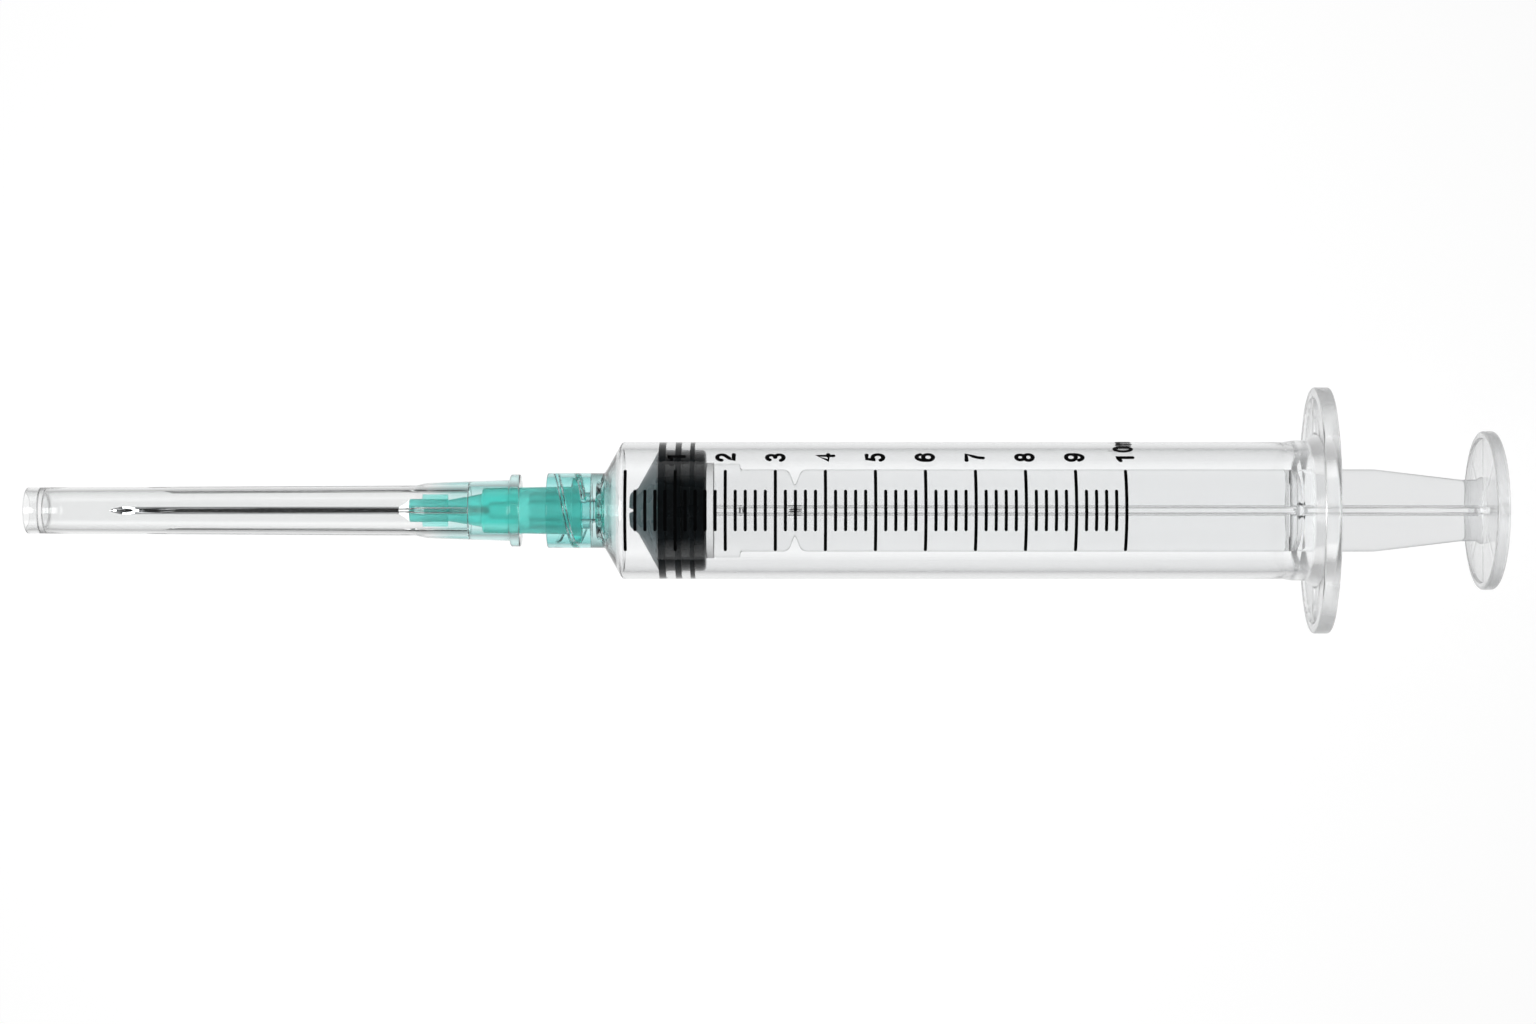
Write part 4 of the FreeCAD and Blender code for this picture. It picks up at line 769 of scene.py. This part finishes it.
def ribbon(path, half_width):
    """Points and faces of a round-ended band of ink along a path of (along the axis, along the arc).

    A band's width is half_width sqrt(1 - c^2), where c runs from 1 at its very end to 0 at the path's first
    point. Its section is a rectangle between INK_DEPTH under the barrel's surface and INK_HEIGHT above it.
    """
    keep = np.concatenate([[True], np.linalg.norm(np.diff(path, axis=0), axis=1) > TINY])
    path = path[keep]
    cap = np.array([1.0, 0.97, 0.85, 0.6, 0.3])
    first = path[0] - path[1]
    last = path[-1] - path[-2]
    first, last = first / np.linalg.norm(first), last / np.linalg.norm(last)
    head = path[0] + first * half_width * cap[:, None]
    tail = path[-1] + last * half_width * cap[::-1, None]
    line = np.concatenate([head, path, tail])
    forward = np.gradient(line, axis=0)
    forward /= np.linalg.norm(forward, axis=1)[:, None]
    side = np.stack([-forward[:, 1], forward[:, 0]], axis=-1)
    width = np.full(len(line), half_width)
    width[:len(cap)] *= np.sqrt(1 - cap ** 2)
    width[-len(cap):] *= np.sqrt(1 - cap[::-1] ** 2)
    left, right = line + side * width[:, None], line - side * width[:, None]
    low, high = BARREL_RADIUS - INK_DEPTH, BARREL_RADIUS + INK_HEIGHT
    rows = [ring_grid(edge[:, 0], radius, edge[:, 1] / BARREL_RADIUS)
            for edge, radius in ((left, low), (left, high), (right, high), (right, low))]
    return closed_rings(np.stack(rows, axis=1), False)


def scale_paths():
    """Centre lines of all the lines and numerals, each with half its width."""
    paths = []
    for number in range(CAPACITY * LINES_PER_MILLILITRE + 1):
        whole = number % LINES_PER_MILLILITRE == 0
        reach = (LONG_LINE_TURN if whole else SHORT_LINE_TURN) / 2 * BARREL_RADIUS - LINE_HALF_WIDTH
        steps = LONG_LINE_STEPS if whole else SHORT_LINE_STEPS
        place = np.full(steps, number * MILLILITRE / LINES_PER_MILLILITRE)
        paths.append((np.stack([place, np.linspace(-reach, reach, steps)], axis=-1), LINE_HALF_WIDTH))
    strokes = numeral_strokes()
    high = NUMERAL_HEIGHT - 2 * NUMERAL_STROKE_HALF_WIDTH
    wide = NUMERAL_WIDTH - 2 * NUMERAL_STROKE_HALF_WIDTH
    for number in range(1, CAPACITY + 1):
        letters = "10ml" if number == CAPACITY else str(number)
        for place, letter in enumerate(letters):
            middle = NUMERAL_TURN * BARREL_RADIUS + place * LETTER_ADVANCE
            if letter == "l":
                middle += LETTER_ADVANCE * NARROW_LETTER_STEP
            elif number == CAPACITY:
                middle += TEN_SHIFT
            for stroke in strokes[letter]:
                along = number * MILLILITRE - (stroke[:, 1] - 0.5) * high
                around = middle + (stroke[:, 0] - 0.5) * wide
                paths.append((np.stack([along, around], axis=-1), NUMERAL_STROKE_HALF_WIDTH))
    return paths


def make_scale(material):
    """All the printed lines and numerals as one piece of ink."""
    bands = [ribbon(path, half_width) for path, half_width in scale_paths()]
    starts = np.cumsum([0] + [len(points) for points, _, _ in bands])
    points = np.concatenate([band[0] for band in bands])
    quads = np.concatenate([band[1] + start for band, start in zip(bands, starts)])
    triangles = np.concatenate([band[2] + start for band, start in zip(bands, starts)])
    return add_piece("printed_scale", (points, quads, triangles), material, "barrel",
                     "graduation_scale")


# Materials

def feed(tree, socket, value):
    """Links a socket to another one, or gives it its own number, vector or colour of red, green and blue."""
    if isinstance(value, bpy.types.NodeSocket):
        tree.links.new(value, socket)
    elif socket.type == "RGBA":
        socket.default_value = (*value, 1)
    else:
        socket.default_value = value


def add_node(tree, kind, **values):
    """Adds a node and sets its properties, or feeds its inputs where the name is an input's."""
    node = tree.nodes.new(kind)
    for name, value in values.items():
        title = name.replace("_", " ")
        if title in node.inputs:
            feed(tree, node.inputs[title], value)
        else:
            setattr(node, name, value)
    return node


def maths(tree, operation, *values):
    """What an operation makes of numbers and other sockets."""
    node = add_node(tree, "ShaderNodeMath", operation=operation)
    for socket, value in zip(node.inputs, values):
        feed(tree, socket, value)
    return node.outputs[0]


def spread(tree, value, start, stop, low=0.0, high=1.0, **settings):
    """A value that runs from low to high while another one runs from start to stop."""
    node = add_node(tree, "ShaderNodeMapRange", From_Min=start, From_Max=stop, To_Min=low, To_Max=high,
                    Value=value, **settings)
    return node.outputs["Result"]


def mixed(tree, share, first, second):
    """A colour that runs from the first to the second with a share."""
    node = add_node(tree, "ShaderNodeMix", data_type="RGBA")
    feed(tree, node.inputs[0], share)
    ends = [socket for socket in node.inputs if socket.type == "RGBA"]
    for socket, colour in zip(ends, (first, second)):
        feed(tree, socket, colour)
    return next(socket for socket in node.outputs if socket.type == "RGBA")


def place_in(tree, space):
    """The place of what is shaded, as object or generated coordinates."""
    return add_node(tree, "ShaderNodeTexCoord").outputs[space]


def coordinate(tree, space, axis):
    """One of the three coordinates of what is shaded."""
    return add_node(tree, "ShaderNodeSeparateXYZ", Vector=place_in(tree, space)).outputs[axis]


def vector_step(tree, operation, *vectors):
    """The node that does one operation with vectors."""
    node = add_node(tree, "ShaderNodeVectorMath", operation=operation)
    for socket, vector in zip(node.inputs, vectors):
        feed(tree, socket, vector)
    return node


def distance(tree, operation, vector):
    """Length of the place of what is shaded after one operation with a vector."""
    changed = vector_step(tree, operation, place_in(tree, "Object"), vector).outputs[0]
    return vector_step(tree, "LENGTH", changed).outputs["Value"]


def share_along(tree, start, stop, low=0.0, high=1.0):
    """A value that runs from low to high between two places in millimetres along the X axis."""
    return spread(tree, coordinate(tree, "Object", "X"), start * MM, stop * MM, low, high)


def slant(tree):
    """How far a surface is turned from the eye: 0 where it is seen straight and 1 along its edge."""
    return add_node(tree, "ShaderNodeLayerWeight", Blend=0.5).outputs["Facing"]


def moulding_group():
    """Slow waves along the flow and a fine grain, as a height in metres, and the waves alone as a cloud."""
    group = bpy.data.node_groups.new("moulding_surface", "ShaderNodeTree")
    for title, usual in MOULDING_VALUES.items():
        socket = group.interface.new_socket(title, in_out="INPUT", socket_type="NodeSocketFloat")
        socket.default_value = usual
    for title in ("Height", "Cloud"):
        group.interface.new_socket(title, in_out="OUTPUT", socket_type="NodeSocketFloat")
    value = group.nodes.new("NodeGroupInput").outputs
    leave = group.nodes.new("NodeGroupOutput")
    stretched = vector_step(group, "MULTIPLY", place_in(group, "Object"), FLOW_STRETCH).outputs[0]
    waves = add_node(group, "ShaderNodeTexNoise", Vector=stretched, Scale=value["Wave Size"],
                     Detail=1.5, Roughness=0.4).outputs["Fac"]
    grain = add_node(group, "ShaderNodeTexNoise", Vector=place_in(group, "Object"),
                     Scale=value["Grain Size"], Detail=2.0).outputs["Fac"]
    high = maths(group, "MULTIPLY", waves, value["Wave Height"])
    fine = maths(group, "MULTIPLY_ADD", grain, value["Grain Height"], high)
    group.links.new(fine, leave.inputs["Height"])
    group.links.new(waves, leave.inputs["Cloud"])
    return group


MOULDING_VALUES = {"Wave Size": 300.0, "Wave Height": 0.00001,
                   "Grain Size": 9000.0, "Grain Height": 0.0000002}
FLOW_STRETCH = (0.22, 1.0, 1.0)
NOISE_RANGE = (0.3, 0.7)
MOULDING = moulding_group()


def varied(tree, noise, low, high):
    """A value that runs from low to high with a noise, most of which lies in NOISE_RANGE."""
    return spread(tree, noise, *NOISE_RANGE, low, high)


def surface_nodes(tree, **values):
    """The moulding group with its own values: its cloud, and the normal that a bump makes of its height."""
    surface = add_node(tree, "ShaderNodeGroup", node_tree=MOULDING, **values)
    bump = add_node(tree, "ShaderNodeBump", Strength=1.0, Distance=1.0, Height=surface.outputs["Height"])
    return surface.outputs["Cloud"], bump.outputs[0]


def new_material(name):
    """A material with an empty tree but for its output."""
    material = bpy.data.materials.new(name)
    material.use_nodes = True
    tree = material.node_tree
    tree.nodes.clear()
    return material, tree, add_node(tree, "ShaderNodeOutputMaterial")


def moulded(name, roughness, surface_values, **values):
    """A material of one shader on the moulding's surface, whose roughness runs between two values."""
    material, tree, output = new_material(name)
    cloud, normal = surface_nodes(tree, **surface_values)
    shader = add_node(tree, "ShaderNodeBsdfPrincipled", Roughness=varied(tree, cloud, *roughness),
                      Normal=normal, **values)
    tree.links.new(shader.outputs[0], output.inputs["Surface"])
    return material, tree, shader, output


def clear_plastic(name, tint, slant_tint, roughness, shade, tint_along_x=None, frost_and_painted_glow=None, bore=None,
                  **surface_values):
    """Clear moulded plastic, darker where it is seen at a slant, that lets lamps shine through it.

    Its colour runs from tint to slant_tint with slant^SLANT_POWER. A tint (colour, start, stop, least) comes
    in between two places along the X axis, least of it where it is seen straight and all of it at a slant;
    where it takes a coloured neighbour's colour it is painted light, standing in for that neighbour shining
    into the moulding. A frost (start, stop, roughness, glow) adds roughness and a painted milky glow, an
    emission that stands in for light scattered in the plastic, between two such places. A painted shade
    (radius, colour) mixes in its dark colour, with slant^BORE_POWER, wherever the surface lies within
    BORE_REACH of that radius.
    """
    material, tree, output = new_material(name)
    cloud, normal = surface_nodes(tree, **surface_values)
    facing = slant(tree)
    colour = tint
    # A colour along X; where it is a coloured neighbour's colour it is painted light from that neighbour.
    if tint_along_x:
        tint_along_x_colour, start, stop, least = tint_along_x
        share = maths(tree, "MULTIPLY", share_along(tree, start, stop), spread(tree, facing, 0, 1, least, 1))
        colour = mixed(tree, share, colour, tint_along_x_colour)
    colour = mixed(tree, maths(tree, "POWER", facing, SLANT_POWER), colour, slant_tint)
    # Painted shade: a dark colour at a slant near the bore's radius.
    if bore:
        radius, painted_bore_shade = bore
        away = distance(tree, "MULTIPLY", (0.0, 1.0, 1.0))
        near = maths(tree, "COMPARE", away, radius * MM, BORE_REACH * MM)
        share = maths(tree, "MULTIPLY", near, maths(tree, "POWER", facing, BORE_POWER))
        colour = mixed(tree, share, colour, painted_bore_shade)
    rough = varied(tree, cloud, roughness * 0.7, roughness * 1.3)
    glow = {}
    # The frost's roughness is real; its emission is a painted glow, not a lamp.
    if frost_and_painted_glow:
        start, stop, rougher, painted_glow_strength = frost_and_painted_glow
        rough = maths(tree, "ADD", rough, share_along(tree, start, stop, 0.0, rougher))
        glow = {"Emission_Color": share_along(tree, start, stop), "Emission_Strength": painted_glow_strength}
    plastic = add_node(tree, "ShaderNodeBsdfPrincipled", Base_Color=colour, Roughness=rough, Normal=normal,
                       IOR=1.49, Transmission_Weight=1.0, **glow)
    passing = add_node(tree, "ShaderNodeBsdfTransparent", Color=shade)
    path = add_node(tree, "ShaderNodeLightPath")
    mix = add_node(tree, "ShaderNodeMixShader", Fac=path.outputs["Is Shadow Ray"])
    tree.links.new(plastic.outputs[0], mix.inputs[1])
    tree.links.new(passing.outputs[0], mix.inputs[2])
    tree.links.new(mix.outputs[0], output.inputs["Surface"])
    return material


def rubber(name):
    """Dark rubber with a thin film of oil; its cone in front of the first sealing ring is painted greyer, a
    painted reflection of the pale floor.
    """
    grained = {"Wave_Size": 500.0, "Wave_Height": 0.000004, "Grain_Size": 12000.0, "Grain_Height": 0.000001}
    material, tree, skin, _ = moulded(name, (0.22, 0.36), grained, IOR=1.52, Specular_IOR_Level=0.12)
    front = stopper_high[0] - STOPPER_LENGTH
    # Painted reflection: the cone's lighter grey stands in for the pale floor that it mirrors.
    colour_with_painted_cone_light = mixed(tree, share_along(tree, front - 0.3, front), (0.085, 0.103, 0.11), (0.005, 0.0075, 0.009))
    tree.links.new(colour_with_painted_cone_light, skin.inputs["Base Color"])
    return material


def coloured_plastic(name, tint, absorbed, roughness, clearness, **surface_values):
    """Translucent coloured plastic, whose colour deepens with its thickness.

    Light keeps exp(-absorbed) of each colour for every millimetre that it runs inside.
    """
    material, tree, _, output = moulded(name, (roughness * 0.8, roughness * 1.2), surface_values,
                                        Base_Color=tint, IOR=1.35, Transmission_Weight=clearness)
    density = max(absorbed)
    kept = [1 - value / density for value in absorbed]
    inside = add_node(tree, "ShaderNodeVolumeAbsorption", Color=kept, Density=density / MM)
    tree.links.new(inside.outputs[0], output.inputs["Volume"])
    return material


def steel(name):
    """Drawn stainless steel with fine lines along the tube."""
    material, tree, output = new_material(name)
    drawn = add_node(tree, "ShaderNodeMapping", Vector=place_in(tree, "Object"), Scale=DRAWN_LINES)
    lines = add_node(tree, "ShaderNodeTexNoise", Vector=drawn.outputs[0], Scale=1.0, Detail=3.0)
    depth = lines.outputs["Fac"]
    bump = add_node(tree, "ShaderNodeBump", Strength=0.25, Distance=0.0000008, Height=depth)
    metal = add_node(tree, "ShaderNodeBsdfPrincipled", Base_Color=(0.86, 0.87, 0.88), Metallic=1.0,
                     Roughness=varied(tree, depth, 0.03, 0.09), Normal=bump.outputs[0])
    tree.links.new(metal.outputs[0], output.inputs["Surface"])
    return material


def resin(name):
    """Cured white resin, a little see-through at its thin edge, with a painted glow: an emission that stands
    in for light from below scattering through it.
    """
    return moulded(name, (0.35, 0.5), {"Wave_Size": 900.0, "Wave_Height": 0.00001},
                   Base_Color=(0.98, 0.985, 0.98), IOR=1.5, Transmission_Weight=0.1,
                   Emission_Color=(1, 1, 1), Emission_Strength=0.3)[0]


def ink(name):
    """Black print, a little uneven."""
    return moulded(name, (0.45, 0.65), {"Wave_Size": 2500.0, "Wave_Height": 0.000001},
                   Base_Color=(0.0008, 0.0008, 0.001), IOR=1.45, Specular_IOR_Level=0.06)[0]


SLANT_POWER = 4.0
BORE_POWER = 6.0
BORE_REACH = 0.4
DRAWN_LINES = (150.0, 16000.0, 16000.0)
LAMP_SHADE = (0.93, 0.94, 0.94)
FLANGE_FRONT = barrel_high[0] - FLANGE_THICKNESS
THUMB_FRONT = plunger_high[0] - THUMB_THICKNESS
# Painted teal glow on the collar, standing in for light from the teal hub inside it.
COLLAR_PAINTED_TEAL_GLOW = ((0.25, 0.86, 0.83), COLLAR_REAR + 1.5, COLLAR_REAR - 0.4, 0.3)
# Greyer on the plunger from the barrel's rear end backwards.
PLUNGER_REAR_GREY = ((0.83, 0.835, 0.84), barrel_high[0] - 1.0, barrel_high[0] + 1.0, 1.0)
# Painted teal glow on the sheath's mouth, standing in for light from the teal hub inside it.
MOUTH_PAINTED_TEAL_GLOW = ((0.3, 0.8, 0.77), sheath_high[0] - 11, sheath_high[0] - 8, 0.15)
# Frost on the band and flange, with a painted milky glow.
FLANGE_FROST_AND_PAINTED_GLOW = (FLANGE_FRONT - BAND_LENGTH, FLANGE_FRONT, 0.2, 0.026)
# Frost on the thumb disc, with a painted milky glow.
THUMB_FROST_AND_PAINTED_GLOW = (THUMB_FRONT - 0.5, THUMB_FRONT, 0.15, 0.016)
# Painted shade along the bore's edge: near black at a slant.
BORE_SHADE = (BORE_RADIUS, (0.02, 0.025, 0.03))

make_barrel(clear_plastic("clear_barrel", (0.98, 0.985, 0.988), (0.2, 0.21, 0.22), 0.01, LAMP_SHADE,
                          tint_along_x=COLLAR_PAINTED_TEAL_GLOW, frost_and_painted_glow=FLANGE_FROST_AND_PAINTED_GLOW, bore=BORE_SHADE, Wave_Height=0.000002))
make_scale(ink("black_ink"))
make_stopper(rubber("stopper_rubber"))
make_plunger(clear_plastic("milky_plunger", (0.965, 0.968, 0.97), (0.8, 0.81, 0.82), 0.06, LAMP_SHADE,
                           tint_along_x=PLUNGER_REAR_GREY, frost_and_painted_glow=THUMB_FROST_AND_PAINTED_GLOW, Wave_Height=0.000006))
make_hub(coloured_plastic("teal_hub", (0.56, 1.0, 0.96), (0.38, 0.003, 0.02), 0.4, 0.86,
                          Wave_Height=0.00001))
needle = make_cannula(steel("drawn_steel"))
make_adhesive(resin("cured_resin"))
cover = make_sheath(clear_plastic("clear_sheath", (0.945, 0.95, 0.95), (0.6, 0.61, 0.62), 0.02, LAMP_SHADE,
                                  tint_along_x=MOUTH_PAINTED_TEAL_GLOW, Wave_Height=0.000004))


# Floor, light and camera, in metres

MIDDLE = 0.0167
FLOOR_REACH = 1.5
FLOOR_GREY = (0.12, 0.12, 0.12)
FLOOR_GLOW = 0.97
GLOW_POWER = 1.5
FULL_GLOW_REACH = 0.14
FADED_GLOW_REACH = 0.45
FADED_GLOW = 0.35
HORIZON_LIGHT = 0.9
OVERHEAD_LIGHT = 0.03
OVERHEAD_START = 0.65
CAMERA_PLACE = (MIDDLE, -0.00018, 0.3786)
LENS_LENGTH = 74.5
SENSOR_WIDTH = 36


def make_floor(height):
    """A pale floor that glows as a light table does, most straight up and less with every degree aside.

    Its glow is (1 - slant)^GLOW_POWER, where the slant is 1 - cos of the angle from straight up, so that
    hardly any shadow shows, and clear plastic gets its darker edges where it bends light aside. It is fainter
    far from the middle.
    """
    mesh = bpy.data.meshes.new("floor")
    corners = [(x * FLOOR_REACH, y * FLOOR_REACH, height) for x, y in ((-1, -1), (1, -1), (1, 1), (-1, 1))]
    mesh.from_pydata(corners, [], [(0, 1, 2, 3)])
    material, tree, output = new_material("pale_floor")
    glow = spread(tree, distance(tree, "SUBTRACT", (MIDDLE, 0, height)), FULL_GLOW_REACH, FADED_GLOW_REACH,
                  1.0, FADED_GLOW, interpolation_type="SMOOTHSTEP")
    beam = maths(tree, "POWER", maths(tree, "SUBTRACT", 1.0, slant(tree)), GLOW_POWER)
    ground = add_node(tree, "ShaderNodeBsdfPrincipled", Base_Color=FLOOR_GREY, Roughness=0.9,
                      Specular_IOR_Level=0.0, Emission_Color=maths(tree, "MULTIPLY", glow, beam),
                      Emission_Strength=FLOOR_GLOW)
    tree.links.new(ground.outputs[0], output.inputs["Surface"])
    mesh.materials.append(material)
    floor = bpy.data.objects.new("floor", mesh)
    bpy.context.scene.collection.objects.link(floor)


def add_softbox(name, place, size, power, target=(MIDDLE, 0, 0), only=()):
    """A soft light that faces the target, with its sizes along the syringe and across it.

    Where only names some pieces, it lights no others.
    """
    lamp = bpy.data.lights.new(name, "AREA")
    lamp.shape = "RECTANGLE"
    lamp.size, lamp.size_y = size
    lamp.energy = power
    softbox = bpy.data.objects.new(name, lamp)
    bpy.context.scene.collection.objects.link(softbox)
    softbox.location = place
    away = np.array(place) - np.array(target)
    yaw = math.atan2(away[0], -away[1])
    tilt = math.acos(away[2] / np.linalg.norm(away))
    softbox.rotation_euler = (tilt, 0, yaw)
    if only:
        lit = bpy.data.collections.new(name)
        for piece in only:
            lit.objects.link(piece)
        softbox.light_linking.receiver_collection = lit


def make_world():
    """A room that is dark overhead and paler towards the horizon."""
    world = bpy.data.worlds.new("studio")
    bpy.context.scene.world = world
    world.use_nodes = True
    tree = world.node_tree
    tree.nodes.clear()
    up = coordinate(tree, "Generated", "Z")
    fade = spread(tree, up, 0.0, OVERHEAD_START, HORIZON_LIGHT, OVERHEAD_LIGHT)
    sky = add_node(tree, "ShaderNodeBackground", Color=fade)
    out = add_node(tree, "ShaderNodeOutputWorld")
    tree.links.new(sky.outputs[0], out.inputs["Surface"])


def make_camera():
    """A camera straight above the syringe."""
    lens = bpy.data.cameras.new("camera")
    lens.lens = LENS_LENGTH
    lens.sensor_width = SENSOR_WIDTH
    lens.clip_start = 0.01
    camera = bpy.data.objects.new("camera", lens)
    camera.location = CAMERA_PLACE
    bpy.context.scene.collection.objects.link(camera)
    bpy.context.scene.camera = camera


make_floor(cad_low[2])
add_softbox("end_light", (-0.42, 0, 0.4), (0.3, 0.5), 2.4)
add_softbox("needle_light", (-0.045, -0.47, 0.19), (0.5, 0.2), 0.35, (-0.045, 0, 0), (needle, cover))
make_world()
make_camera()

bpy.context.scene.view_settings.view_transform = "Standard"
cycles = bpy.context.scene.cycles
cycles.use_denoising = True
cycles.max_bounces = 24
cycles.transmission_bounces = 24
cycles.glossy_bounces = 8
cycles.transparent_max_bounces = 24
